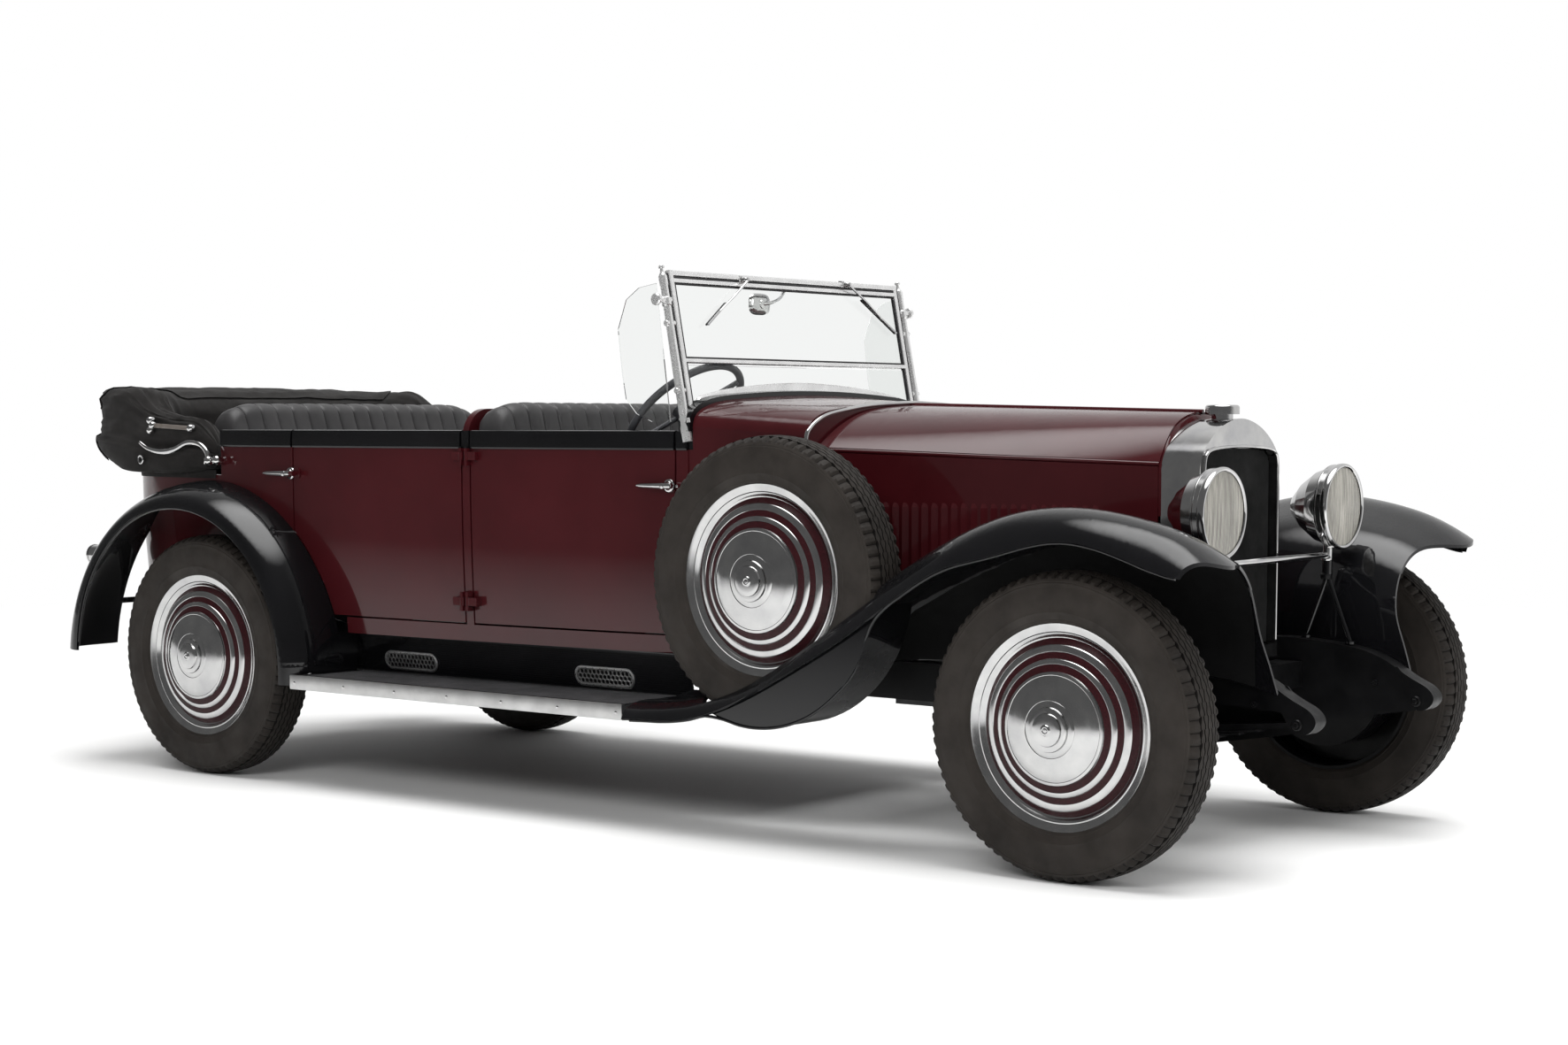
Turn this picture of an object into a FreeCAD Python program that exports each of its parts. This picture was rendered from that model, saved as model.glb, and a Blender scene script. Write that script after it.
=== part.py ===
import FreeCAD, Part
import math
import os
import Sketcher
from FreeCAD import Placement, Rotation, Vector

doc = FreeCAD.newDocument("touring_car")

# Driving dimensions in millimetres. X is forward, Y to the car's left, Z up.
# A name that ends in _back is a distance behind the front axle.
driving = [
    ("front_axle_x", 1887, "front axle's place in the car's own frame"),
    ("wheelbase", 3400, "front axle to rear axle"),
    ("half_track", 770, "centre line to the wheels' centre planes"),
    ("tyre_radius", 406, "also the height of the hubs"),
    ("tyre_half_width", 79, ""),
    ("rim_radius", 264, "where the tyre's beads sit"),
    ("rim_half_width", 62, ""),
    ("drum_radius", 190, "brake drum"),
    ("hub_tip", 140, "hub cap's end, outboard of the wheel's centre plane"),
    ("stub_radius", 20, "stub axle in its hub"),
    ("running_gap", 0.3, "radial clearance of anything that turns"),
    ("seat_gap", 0.3, "clearance where one piece rests on another"),
    ("panel_gap", 6, "gap round doors and bonnet"),
    ("kingpin_y", 630, "steering swivel, off the centre line"),
    ("kingpin_radius", 12, ""),
    ("steer_arm_back", 170, "track rod's pins behind the kingpins"),
    ("rail_y", 366, "chassis rail's centre line"),
    ("rail_width", 60, ""),
    ("rail_height", 110, ""),
    ("frame_top", 500, "top of the chassis frame, under the body"),
    ("kick_up", 150, "rise of the frame over the rear axle"),
    ("dumb_iron_reach", 507, "tips of the dumb irons, ahead of the front axle"),
    ("eye_inset", 50, "front spring eyes, behind the tips of the dumb irons"),
    ("eye_radius", 19, ""),
    ("eye_pin", 8, ""),
    ("spring_width", 48, ""),
    ("nose_plate", 4, "plate inside each dumb iron"),
    ("frame_tail_behind", 720, "rear ends of the rails, behind the rear axle"),
    ("shell_front", 71, "radiator's face, ahead of the front axle"),
    ("shell_depth", 120, "radiator shell, front to back"),
    ("shell_half_width", 234, ""),
    ("shell_bottom", 520, ""),
    ("shell_shoulder", 1056, "where the arched top starts"),
    ("shell_top", 1202, "crest of the radiator's arch"),
    ("bonnet_front_back", 55, "bonnet's front edge"),
    ("bonnet_rear_back", 1035, "bonnet's rear edge"),
    ("bonnet_top_front", 1216, "bonnet's centre hinge at its front end"),
    ("bonnet_top_rear", 1240, "bonnet's centre hinge at its rear end"),
    ("bonnet_shoulder_front", 1077, "side hinge's height at its front end"),
    ("bonnet_shoulder_rear", 1112, "side hinge's height at its rear end"),
    ("bonnet_half_front", 236, "side hinge, off the centre line, front end"),
    ("bonnet_half_rear", 492, "side hinge, off the centre line, rear end"),
    ("bonnet_bottom", 640, "lower edge of the bonnet's sides"),
    ("bonnet_sheet", 5, "thickness of the bonnet's panels"),
    ("bead_radius", 6, "bead of the bonnet's hinges"),
    ("louvre_count", 26, "louvres in each side of the bonnet"),
    ("louvre_front", 222, "first louvre, behind the front axle"),
    ("louvre_rear", 940, "last louvre, behind the front axle"),
    ("louvre_top", 962, ""),
    ("louvre_bottom", 700, ""),
    ("louvre_width", 20, ""),
    ("louvre_rise", 7, ""),
    ("hinge_rise", 6, "centre hinge's axis above the bonnet's crest"),
    ("flange_reach", 20, "ledges under the bonnet's ends"),
    ("cowl_front_back", 1045, "front edge of the cowl"),
    ("cowl_rear_back", 1440, "rear edge of the cowl, at the screen"),
    ("cowl_top_front", 1248, ""),
    ("cowl_top_rear", 1276, ""),
    ("cowl_half_front", 535, "half width at the cowl's front edge"),
    ("body_inside_track", 68, "body's widest line, inboard of the wheels' centre planes"),
    ("post_taper", 26, "body narrower on each side at the middle posts than at its widest"),
    ("screen_taper", 76, "body narrower on each side at the screen than at the middle posts"),
    ("body_wall", 40, "thickness of the body's sides and doors"),
    ("cowl_wall", 24, ""),
    ("body_bottom", 500, "underside of the body, on the frame"),
    ("body_tuck", 26, "how far the sides lean in at the bottom"),
    ("floor_thickness", 30, ""),
    ("belt_top", 1165, "top of the doors and the belt rail"),
    ("belt_depth", 55, "height of the belt rail's moulding"),
    ("belt_proud", 5, "belt rail's moulding, outboard of the panels"),
    ("collar_rise", 14, "rolled edge of the cowl at the screen, above the cowl"),
    ("collar_width", 37, ""),
    ("rear_deck", 1012, "top of the body's sides under the folded hood"),
    ("body_tail_behind", 740, "rearmost of the body's panel, behind the rear axle"),
    ("front_pillar", 40, "screen to the front edge of the front doors"),
    ("post_ahead", 1110, "middle posts that carry all four doors, ahead of the rear axle"),
    ("post_width", 30, "what shows of a middle post between the doors"),
    ("door_rear_ahead", 324, "rear edge of the rear doors, ahead of the rear axle"),
    ("door_bottom", 552, ""),
    ("hinge_offset", 11, "door hinges' pins, outboard of the body"),
    ("hinge_spread", 12, "door hinges' pins, each side of the middle posts' centres"),
    ("hinge_low", 627, ""),
    ("hinge_high", 1086, ""),
    ("board_top", 367, "running board's tread"),
    ("board_thickness", 42, ""),
    ("board_front_back", 1475, ""),
    ("board_rear_ahead", 480, "running board's rear end, ahead of the rear axle"),
    ("mat_thickness", 3, "rubber mat let into the running board"),
    ("mat_margin", 14, "bright edge of the running board, beside the mat"),
    ("board_inner", 585, ""),
    ("board_beyond_track", 92, "outer edge of the running boards, outboard of the wheels' centre planes"),
    ("vent_length", 244, "vents in the splash aprons"),
    ("vent_height", 62, ""),
    ("vent_z", 411, ""),
    ("vent_rim", 8, ""),
    ("wing_sheet", 9, "thickness of the wings"),
    ("wing_beyond_track", 98, "outer edge of the wings, outboard of the wheels' centre planes"),
    ("crown_inside_track", 50, "highest line of the wings, inboard of the wheels' centre planes"),
    ("wing_front", 432, "front edge of the front wings, ahead of the front axle"),
    ("valance_gap", 6, "between the rails and the wings' inner valances"),
    ("valance_front", 346, "front edge of the wings' inner valances, ahead of the front axle"),
    ("arch_behind", 96, "centre of the rear arches, behind the rear axle"),
    ("arch_height", 372, ""),
    ("arch_radius", 612, "rear wing where it meets the body"),
    ("arch_lip_radius", 530, "rear wing's outer lip"),
    ("spare_back", 984, "centre of the spare wheels"),
    ("spare_inside_track", 5, "spare wheels' centre planes, inboard of the road wheels'"),
    ("spare_z", 750, ""),
    ("lamp_front", 207, "headlamp's rim, ahead of the front axle"),
    ("lamp_y", 358, ""),
    ("lamp_z", 950, ""),
    ("lamp_radius", 121, ""),
    ("lamp_depth", 160, ""),
    ("lamp_bar_z", 809, "bar that carries the lamps"),
    ("screen_foot_back", 1444, "windscreen's foot"),
    ("screen_foot_z", 1163, ""),
    ("screen_rake", 92, "how far the screen's head leans back"),
    ("screen_head_z", 1634, ""),
    ("screen_half_width", 572, ""),
    ("screen_bar_z", 1375, "bar between the two panes"),
    ("steering_back", 1657, "centre of the steering wheel"),
    ("steering_y", 360, "steering wheel, off the centre line"),
    ("steering_z", 1218, ""),
    ("steering_radius", 205, ""),
    ("seat_top", 1255, "top of both seat backs"),
    ("hood_top", 1319, "top of the folded hood"),
    ("hood_half_width", 722, ""),
]

sheet = doc.addObject("Spreadsheet::Sheet", "sizes")
for row, (alias, value, note) in enumerate(driving, start=1):
    sheet.set("A%d" % row, note)
    sheet.set("B%d" % row, str(value))
    sheet.setAlias("B%d" % row, alias)
doc.recompute()


class Sizes:
    def __getattr__(self, alias):
        return float(getattr(sheet, alias))


size = Sizes()
body_half_wide = size.half_track - size.body_inside_track
body_half_post = body_half_wide - size.post_taper
body_half_screen = body_half_post - size.screen_taper
wing_outer = size.half_track + size.wing_beyond_track
wing_crown = size.half_track - size.crown_inside_track
spare_y = size.half_track - size.spare_inside_track
door_front_back = size.cowl_rear_back + size.front_pillar
post_back = size.wheelbase - size.post_ahead
door_rear_back = size.wheelbase - size.door_rear_ahead
arch_back = size.wheelbase + size.arch_behind
body_tail_back = size.wheelbase + size.body_tail_behind
frame_tail_back = size.wheelbase + size.frame_tail_behind
beyond = 2 * wing_outer   # reach of tools that cut past the car's side
above = 2 * size.belt_top   # reach of tools that cut past its top
nodes = []
sides = {"right": -1, "left": 1}


def keep(shape_object, label):
    shape_object.Label = label
    nodes.append(shape_object)
    return shape_object


def ahead(back):
    """Own x of a point that lies that far behind the front axle."""
    return size.front_axle_x - back


# Document objects whose sizes are bound to the sheet

def move(shape_object, x="0", y="0", z="0", rotation=None):
    if rotation is not None:
        shape_object.Placement = Placement(Vector(), rotation)
    for axis, expression in (("x", x), ("y", y), ("z", z)):
        shape_object.setExpression("Placement.Base." + axis, named(expression))
    return shape_object


aliases = sorted((entry[0] for entry in driving), key=len, reverse=True)


def named(expression):
    """Write sheet names into an expression given with plain aliases."""
    words = []
    word = ""
    for letter in expression + " ":
        if letter.isalnum() or letter == "_":
            word += letter
            continue
        words.append("sizes." + word if word in aliases else word)
        words.append(letter)
        word = ""
    return "".join(words).strip()


def box(name, length, width, height, x, y, z, rotation=None):
    solid = doc.addObject("Part::Box", name)
    for prop, expression in (("Length", length), ("Width", width), ("Height", height)):
        solid.setExpression(prop, named(expression))
    return move(solid, x, y, z, rotation)


along_x = Rotation(Vector(0, 1, 0), 90)
along_y = Rotation(Vector(1, 0, 0), -90)


def cylinder(name, radius, height, x, y, z, rotation=None):
    solid = doc.addObject("Part::Cylinder", name)
    solid.setExpression("Radius", named(radius))
    solid.setExpression("Height", named(height))
    return move(solid, x, y, z, rotation)


def fuse(name, solids):
    joined = doc.addObject("Part::MultiFuse", name)
    joined.Shapes = solids
    return joined


def cut(name, base, tool):
    rest = doc.addObject("Part::Cut", name)
    rest.Base = base
    rest.Tool = tool
    return rest


def compound(name, solids):
    group = doc.addObject("Part::Compound", name)
    group.Links = solids
    return group


def mirrored(name, source):
    twin = doc.addObject("Part::Mirroring", name)
    twin.Source = source
    twin.Normal = Vector(0, 1, 0)
    return twin


def both_sides(name, source):
    return compound(name, [source, mirrored(name + "_twin", source)])


def plane_of(body, role):
    return [plane for plane in body.Origin.OriginFeatures if plane.Role == role][0]


def outline(body, role, corners):
    """Closed sketch whose corners follow the sheet, one pair of expressions each."""
    sketch = body.newObject("Sketcher::SketchObject", body.Name + "_outline")
    sketch.AttachmentSupport = [(plane_of(body, role), "")]
    sketch.MapMode = "FlatFace"
    places = [tuple(value_of(part) for part in corner) for corner in corners]
    count = len(places)
    for index in range(count):
        start = Vector(*places[index], 0)
        end = Vector(*places[(index + 1) % count], 0)
        sketch.addGeometry(Part.LineSegment(start, end))
    for index in range(count):
        sketch.addConstraint(Sketcher.Constraint("Coincident", index, 2, (index + 1) % count, 1))
    for index in range(count):
        for kind, part, place in zip(("DistanceX", "DistanceY"), corners[index], places[index]):
            number = sketch.addConstraint(Sketcher.Constraint(kind, -1, 1, index, 1, place))
            sketch.setExpression("Constraints[%d]" % number, named(part))
    return sketch


def value_of(expression):
    text = expression
    for alias in aliases:
        text = text.replace(alias, repr(getattr(size, alias)))
    return float(FreeCAD.Units.Quantity(text).Value) if not any(c in text for c in "*/+-()") else solve(text)


def solve(text):
    probe = doc.getObject("probe") or doc.addObject("App::FeaturePython", "probe")
    if "value" not in probe.PropertiesList:
        probe.addProperty("App::PropertyFloat", "value")
    probe.setExpression("value", text)
    probe.recompute()
    return float(probe.value)


def revolved(name, corners, about="V_Axis", role="XY_Plane"):
    body = doc.addObject("PartDesign::Body", name)
    sketch = outline(body, role, corners)
    turn = body.newObject("PartDesign::Revolution", name + "_turn")
    turn.Profile = sketch
    turn.ReferenceAxis = (sketch, [about])
    turn.Angle = 360
    return body


def padded(name, role, corners, length, symmetric=True):
    body = doc.addObject("PartDesign::Body", name)
    sketch = outline(body, role, corners)
    pad = body.newObject("PartDesign::Pad", name + "_pad")
    pad.Profile = sketch
    pad.Midplane = symmetric
    pad.setExpression("Length", named(length))
    return body


# Shapes made with Part's own functions, read from the sheet

def feature(name, shape):
    made = doc.addObject("Part::Feature", name)
    made.Shape = shape
    return made


def spline(points):
    curve = Part.BSplineCurve()
    curve.interpolate(points)
    return curve.toShape()


def set_off(points, normal, distance):
    """The same line, moved sideways in the plane that the normal stands on."""
    moved = []
    for index, point in enumerate(points):
        before = points[max(index - 1, 0)]
        after = points[min(index + 1, len(points) - 1)]
        moved.append(point + (after - before).cross(normal).normalize() * distance)
    return moved


def thickened(points, normal, thickness):
    """Closed outline of a bent sheet: a smooth line, and the same line set off."""
    inner = set_off(points, normal, thickness)
    edges = [spline(points), Part.makeLine(points[-1], inner[-1])]
    edges += [spline(inner[::-1]), Part.makeLine(inner[0], points[0])]
    return Part.Wire(edges)


def loft(wires, ruled=False):
    return Part.makeLoft(wires, True, ruled)


def flip(shape):
    return shape.mirror(Vector(), Vector(0, 1, 0))


def prism(points, direction):
    wire = Part.makePolygon(points + [points[0]])
    return Part.Face(wire).extrude(direction)


def block(low, high):
    return Part.makeBox(high[0] - low[0], high[1] - low[1], high[2] - low[2], Vector(*low))


def between(value, start, end, low, high):
    return low + (high - low) * (value - start) / (end - start)


# Wheels and tyres. Sections run outboard along +Y from the wheel's centre plane.

tyre_section = [
    ("rim_radius + running_gap", "0.62 * tyre_half_width"),
    ("rim_radius + 14", "0.76 * tyre_half_width"),
    ("rim_radius + 40", "0.93 * tyre_half_width"),
    ("rim_radius + 72", "tyre_half_width"),
    ("tyre_radius - 38", "0.96 * tyre_half_width"),
    ("tyre_radius - 16", "0.82 * tyre_half_width"),
    ("tyre_radius - 4", "0.6 * tyre_half_width"),
    ("tyre_radius", "0.3 * tyre_half_width"),
]
tyre_section += [(radius, "-1 * " + offset) for radius, offset in reversed(tyre_section)]

wheel_section = [
    ("0", "hub_tip"),
    ("24", "hub_tip"),
    ("30", "hub_tip - 12"),
    ("43", "hub_tip - 15"),
    ("45", "hub_tip - 30"),
    ("56", "hub_tip - 33"),
    ("58", "hub_tip - 44"),
    ("70", "hub_tip - 48"),
    ("138", "rim_half_width + 10"),
    ("148", "rim_half_width + 2"),
    ("166", "rim_half_width - 2"),
    ("233", "rim_half_width - 18"),
    ("rim_radius + 8", "rim_half_width"),
    ("rim_radius + 8", "rim_half_width - 6"),
    ("rim_radius", "rim_half_width - 10"),
    ("rim_radius", "10 - rim_half_width"),
    ("rim_radius + 8", "6 - rim_half_width"),
    ("rim_radius + 8", "-1 * rim_half_width"),
    ("rim_radius - 8", "-1 * rim_half_width"),
    ("rim_radius - 8", "rim_half_width - 18"),
    ("233", "rim_half_width - 26"),
    ("drum_radius", "rim_half_width - 14"),
    ("drum_radius", "-85"),
    ("drum_radius - 10", "-85"),
    ("drum_radius - 10", "-20"),
    ("45", "-20"),
    ("45", "-60"),
    ("stub_radius + running_gap", "-60"),
    ("stub_radius + running_gap", "90"),
    ("0", "90"),
]

spare_section = wheel_section[:21] + [
    ("180", "rim_half_width - 16"),
    ("180", "20"),
    ("0", "20"),
]

for end, back in (("front", "0"), ("rear", "wheelbase")):
    for side, sign in sides.items():
        turned = Rotation(Vector(0, 0, 1), 180) if sign < 0 else Rotation()
        where = ("front_axle_x - " + back, "%d * half_track" % sign, "tyre_radius")
        for kind, section in (("tyre", tyre_section), ("wheel", wheel_section)):
            label = "%s_%s_%s" % (kind, end, side)
            keep(move(revolved(label, section), *where, rotation=turned), label)

for kind, section in (("tyre", tyre_section), ("wheel", spare_section)):
    spares = []
    for side, sign in sides.items():
        turned = Rotation(Vector(0, 0, 1), 180) if sign < 0 else Rotation()
        body = revolved("spare_%s_%s" % (kind, side), section)
        spare_side = "%d * (half_track - spare_inside_track)" % sign
        spares.append(move(body, "front_axle_x - spare_back", spare_side, "spare_z", turned))
    keep(compound("spare_%ss" % kind, spares), "spare_%ss" % kind)

# Front axle: a dropped beam with a boss round each kingpin

beam_corners = [("kingpin_y", "tyre_radius + 34"), ("kingpin_y", "tyre_radius - 26")]
beam_corners += [("kingpin_y - 60", "tyre_radius - 40"), ("kingpin_y - 130", "tyre_radius - 106")]
beam_corners += [("130 - kingpin_y", "tyre_radius - 106"), ("60 - kingpin_y", "tyre_radius - 40")]
beam_corners += [("-1 * kingpin_y", "tyre_radius - 26"), ("-1 * kingpin_y", "tyre_radius + 34")]
beam_corners += [("40 - kingpin_y", "tyre_radius + 20"), ("115 - kingpin_y", "tyre_radius - 46")]
beam_corners += [("kingpin_y - 115", "tyre_radius - 46"), ("kingpin_y - 40", "tyre_radius + 20")]
beam = move(padded("axle_beam", "YZ_Plane", beam_corners, "44"), "front_axle_x")
bosses = []
pin_holes = []
for side, sign in sides.items():
    where = ("front_axle_x", "%d * kingpin_y" % sign, "tyre_radius - 40")
    bosses.append(cylinder("axle_boss_" + side, "28", "80", *where))
    pin_holes.append(cylinder("axle_hole_" + side, "kingpin_radius + running_gap", "80", *where))
front_axle = cut("front_axle", fuse("axle_solid", [beam] + bosses), fuse("axle_holes", pin_holes))
keep(front_axle, "front_axle")

# Knuckles: kingpin, yoke, stub axle, brake back plate and steering arm

for side, sign in sides.items():
    pin_y = "%d * kingpin_y" % sign
    out = Rotation(Vector(1, 0, 0), -90 * sign)
    pieces = [cylinder("kingpin_" + side, "kingpin_radius", "124", "front_axle_x", pin_y,
                       "tyre_radius - 62")]
    for index, level in enumerate(("tyre_radius - 62", "tyre_radius + 40 + seat_gap")):
        height = "22 - seat_gap"
        pieces.append(cylinder("yoke_%s_%d" % (side, index), "26", height, "front_axle_x", pin_y, level))
        inner = "kingpin_y" if sign > 0 else "-1 * kingpin_y - 46"
        pieces.append(box("yoke_arm_%s_%d" % (side, index), "52", "46", height,
                          "front_axle_x - 26", inner, level))
    web = "kingpin_y + 32" if sign > 0 else "-1 * kingpin_y - 46"
    pieces.append(box("yoke_web_" + side, "52", "14", "124", "front_axle_x - 26", web, "tyre_radius - 62"))
    pieces.append(cylinder("stub_" + side, "stub_radius", "half_track + 89 - kingpin_y - 40",
                           "front_axle_x", "%d * (kingpin_y + 40)" % sign, "tyre_radius", out))
    pieces.append(cylinder("backplate_" + side, "drum_radius + 4", "5", "front_axle_x",
                           "%d * (half_track - 95)" % sign, "tyre_radius", out))
    arm_y = "kingpin_y - 14" if sign > 0 else "-1 * kingpin_y - 14"
    pieces.append(box("steer_arm_" + side, "steer_arm_back + 10", "28", "16",
                      "front_axle_x - steer_arm_back", arm_y, "tyre_radius - 72"))
    pieces.append(cylinder("arm_pin_" + side, "8", "62", "front_axle_x - steer_arm_back", pin_y,
                           "tyre_radius - 118"))
    pieces.append(cylinder("arm_eye_" + side, "18", "16", "front_axle_x - steer_arm_back", pin_y,
                           "tyre_radius - 72"))
    keep(fuse("knuckle_" + side, pieces), "knuckle_" + side)

# Track rod: closed on the right arm's pin, with play round the left arm's pin

rod_z = "(tyre_radius - 98)"
rod_x = "front_axle_x - steer_arm_back"
rod = cylinder("rod_bar", "13", "2 * kingpin_y - 30", rod_x, "15 - kingpin_y", rod_z, along_y)
ends = [cylinder("rod_end_" + side, "20", "32", rod_x, "%d * kingpin_y" % sign, rod_z + " - 16")
        for side, sign in sides.items()]
eyes = [
    cylinder("rod_eye_right", "8 + running_gap", "40", rod_x, "-1 * kingpin_y", rod_z + " - 20"),
    cylinder("rod_eye_left", "8 + running_gap + 0.5", "40", rod_x, "kingpin_y", rod_z + " - 20"),
]
keep(cut("track_rod", fuse("rod_solid", [rod] + ends), fuse("rod_eyes", eyes)), "track_rod")

# Rear axle: banjo housing, tubes, back plates and the half shafts' ends

rear_x = "front_axle_x - wheelbase"
tube_side = "95 - half_track"
pieces = [cylinder("axle_tube", "38", "2 * half_track - 190", rear_x, tube_side, "tyre_radius", along_y)]
casing = doc.addObject("Part::Sphere", "axle_casing")
casing.Radius = 140
pieces.append(move(casing, rear_x, "0", "tyre_radius"))
pieces.append(cylinder("axle_shaft", "stub_radius", "2 * half_track + 178", rear_x, "-1 * half_track - 89",
                       "tyre_radius", along_y))
for side, sign in sides.items():
    out = Rotation(Vector(1, 0, 0), -90 * sign)
    pieces.append(cylinder("rear_plate_" + side, "drum_radius + 4", "5", rear_x,
                           "%d * (half_track - 95)" % sign, "tyre_radius", out))
keep(fuse("rear_axle", pieces), "rear_axle")

# Chassis frame: two rails with dumb irons and a rise over the rear axle, and cross members

eye_reach = size.dumb_iron_reach - size.eye_inset
eye_z = size.tyre_radius
rail_low = size.frame_top - size.rail_height
kick_low = size.kick_up * 0.8 - 70   # underside of the rails' tails, above the frame's top


def rail_face():
    """Side of a rail: a curved nose over the front spring's eye, and the rise over the rear axle."""
    top = size.frame_top
    rise = size.kick_up
    over = size.wheelbase
    tip = size.dumb_iron_reach
    nose = [(tip - 47, -26), (tip - 14, -16), (tip, 9), (tip - 10, 30), (tip - 59, 59), (tip - 132, 102)]
    nose += [(tip - 220, 137), (tip - 317, 152), (tip - 474, 162), (tip - 700, 134)]
    nose = [(reach, eye_z + climb) for reach, climb in nose] + [(tip - 960, top)]
    rest = [(tip - 960, top), (-over + 520, top), (-over + 300, top + rise * 0.75), (-over, top + rise)]
    rest += [(-over - 300, top + rise * 0.9), (-frame_tail_back, top + rise * 0.8)]
    rest += [(-frame_tail_back, top + kick_low), (-over - 300, rail_low + rise * 0.9)]
    rest += [(-over, rail_low + rise), (-over + 270, rail_low + rise * 0.7), (-over + 480, rail_low)]
    rest += [(tip - 1000, rail_low), (tip - 760, rail_low + 15), (tip - 507, rail_low + 50)]
    rest += [(tip - 300, rail_low + 58), (tip - 100, rail_low + 46)]
    rest += [(tip - 70, rail_low - 2), (tip - 47, eye_z - 26)]
    points = [[Vector(size.front_axle_x + x, 0, z) for x, z in run] for run in (nose, rest)]
    return Part.Face(Part.Wire([spline(points[0])] + Part.makePolygon(points[1]).Edges))


def rail_top(back):
    """Height of the rails' upper edge over a point."""
    line = Part.makeLine(Vector(ahead(back), 0, 0), Vector(ahead(back), 0, above))
    return line.common(rail_face()).BoundBox.ZMax


def rail(side_y):
    """One rail, slotted round its front spring's eye, with the deep plate inside its nose."""
    half = size.rail_width / 2
    solid = rail_face().extrude(Vector(0, size.rail_width, 0)).translated(Vector(0, side_y - half, 0))
    slot = block((ahead(-eye_reach) - 52, side_y - size.spring_width / 2 - 1, eye_z - 60),
                 (ahead(-eye_reach) + size.eye_radius + 5, side_y + size.spring_width / 2 + 1,
                  eye_z + size.eye_radius + 6))
    pin = Part.makeCylinder(size.eye_pin, size.rail_width, Vector(ahead(-eye_reach), side_y - half, eye_z),
                            Vector(0, 1, 0))
    inner = side_y - half if side_y > 0 else side_y + half - size.nose_plate
    plate = [(eye_reach - 2, eye_z - 26), (188, eye_z - 71), (62, eye_z - 71), (62, size.frame_top)]
    plate += [(eye_reach - 60, size.frame_top), (eye_reach + 10, eye_z + 20)]
    deep = prism([Vector(size.front_axle_x + x, inner, z) for x, z in plate], Vector(0, size.nose_plate, 0))
    return solid.cut(slot).fuse([pin, deep])


frame = rail(size.rail_y).fuse(rail(-size.rail_y))
member_low = size.frame_top - size.rail_height * 0.7
for back in (-60, 1150, 1900):
    low = (ahead(back) - 40, -size.rail_y, member_low)
    frame = frame.fuse(block(low, (ahead(back) + 40, size.rail_y, size.frame_top)))
tail = (ahead(frame_tail_back), -size.rail_y, size.frame_top + kick_low)
frame = frame.fuse(block(tail, (tail[0] + 50, size.rail_y, tail[2] + 70)))
mid = (ahead(size.wheelbase - 260), -size.rail_y, size.frame_top + 30)
frame = frame.fuse(block(mid, (mid[0] + 60, size.rail_y, mid[2] + 60)))
spring_y = size.rail_y + size.rail_width / 2 + 36
hanger_z = size.tyre_radius + 66
hanger_backs = (size.wheelbase - 600, size.wheelbase + 620)
for back in hanger_backs:
    for sign in (-1, 1):
        root = Vector(ahead(back), sign * size.rail_y, hanger_z)
        frame = frame.fuse(Part.makeCylinder(12, spring_y + 32 - size.rail_y, root, Vector(0, sign, 0)))
        bracket_top = size.frame_top + 60
        bracket = block((root.x - 22, root.y - 26, hanger_z - 24), (root.x + 22, root.y + 26, bracket_top))
        if back > size.wheelbase:
            frame = frame.fuse(bracket)
keep(feature("chassis_frame", frame.removeSplitter()), "chassis_frame")

# Leaf springs: front ones under the rails, rear ones outside them on hanger pins

def leaf_spring(front, axle, rear, seat, depth, centre_y, width):
    top = [Vector(front[0], centre_y, front[1]), Vector(axle, centre_y, seat + depth)]
    top.append(Vector(rear[0], centre_y, rear[1]))
    low = [Vector(rear[0], centre_y, rear[1] - 14), Vector(axle, centre_y, seat)]
    low.append(Vector(front[0], centre_y, front[1] - 14))
    edges = [spline(top), Part.makeLine(top[-1], low[0]), spline(low), Part.makeLine(low[-1], top[0])]
    leaves = Part.Face(Part.Wire(edges)).extrude(Vector(0, width, 0)).translated(Vector(0, -width / 2, 0))
    return leaves.cut(block((axle - 90, centre_y - width, seat - depth), (axle + 90, centre_y + width, seat)))


springs = []
for sign in (-1, 1):
    beam_top = size.tyre_radius - 46 + size.seat_gap
    leaf = leaf_spring((ahead(-eye_reach) - 14, eye_z + 6), ahead(0), (ahead(500), rail_low - size.seat_gap),
                       beam_top, 20, sign * size.rail_y, size.spring_width)
    eye_foot = Vector(ahead(-eye_reach), sign * size.rail_y - size.spring_width / 2, eye_z)
    leaf = leaf.fuse(Part.makeCylinder(size.eye_radius, size.spring_width, eye_foot, Vector(0, 1, 0)))
    bore = Part.makeCylinder(size.eye_pin + size.running_gap, size.spring_width, eye_foot, Vector(0, 1, 0))
    springs.append(leaf.cut(bore))
    tube_top = size.tyre_radius + 38 + size.seat_gap
    ends = [(ahead(back), hanger_z + 7) for back in hanger_backs]
    leaves = leaf_spring(ends[0], ahead(size.wheelbase), ends[1], tube_top, 34, sign * spring_y, 52)
    for back in hanger_backs:
        foot = Vector(ahead(back), sign * spring_y - 26, hanger_z)
        leaves = leaves.fuse(Part.makeCylinder(24, 52, foot, Vector(0, 1, 0)))
    for back in hanger_backs:
        foot = Vector(ahead(back), sign * spring_y - 30, hanger_z)
        leaves = leaves.cut(Part.makeCylinder(12 + size.running_gap, 60, foot, Vector(0, 1, 0)))
    springs.append(leaves)
keep(feature("leaf_springs", Part.makeCompound(springs)), "leaf_springs")

# Engine, exhaust and tank: what shows from below and the heavy block

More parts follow.
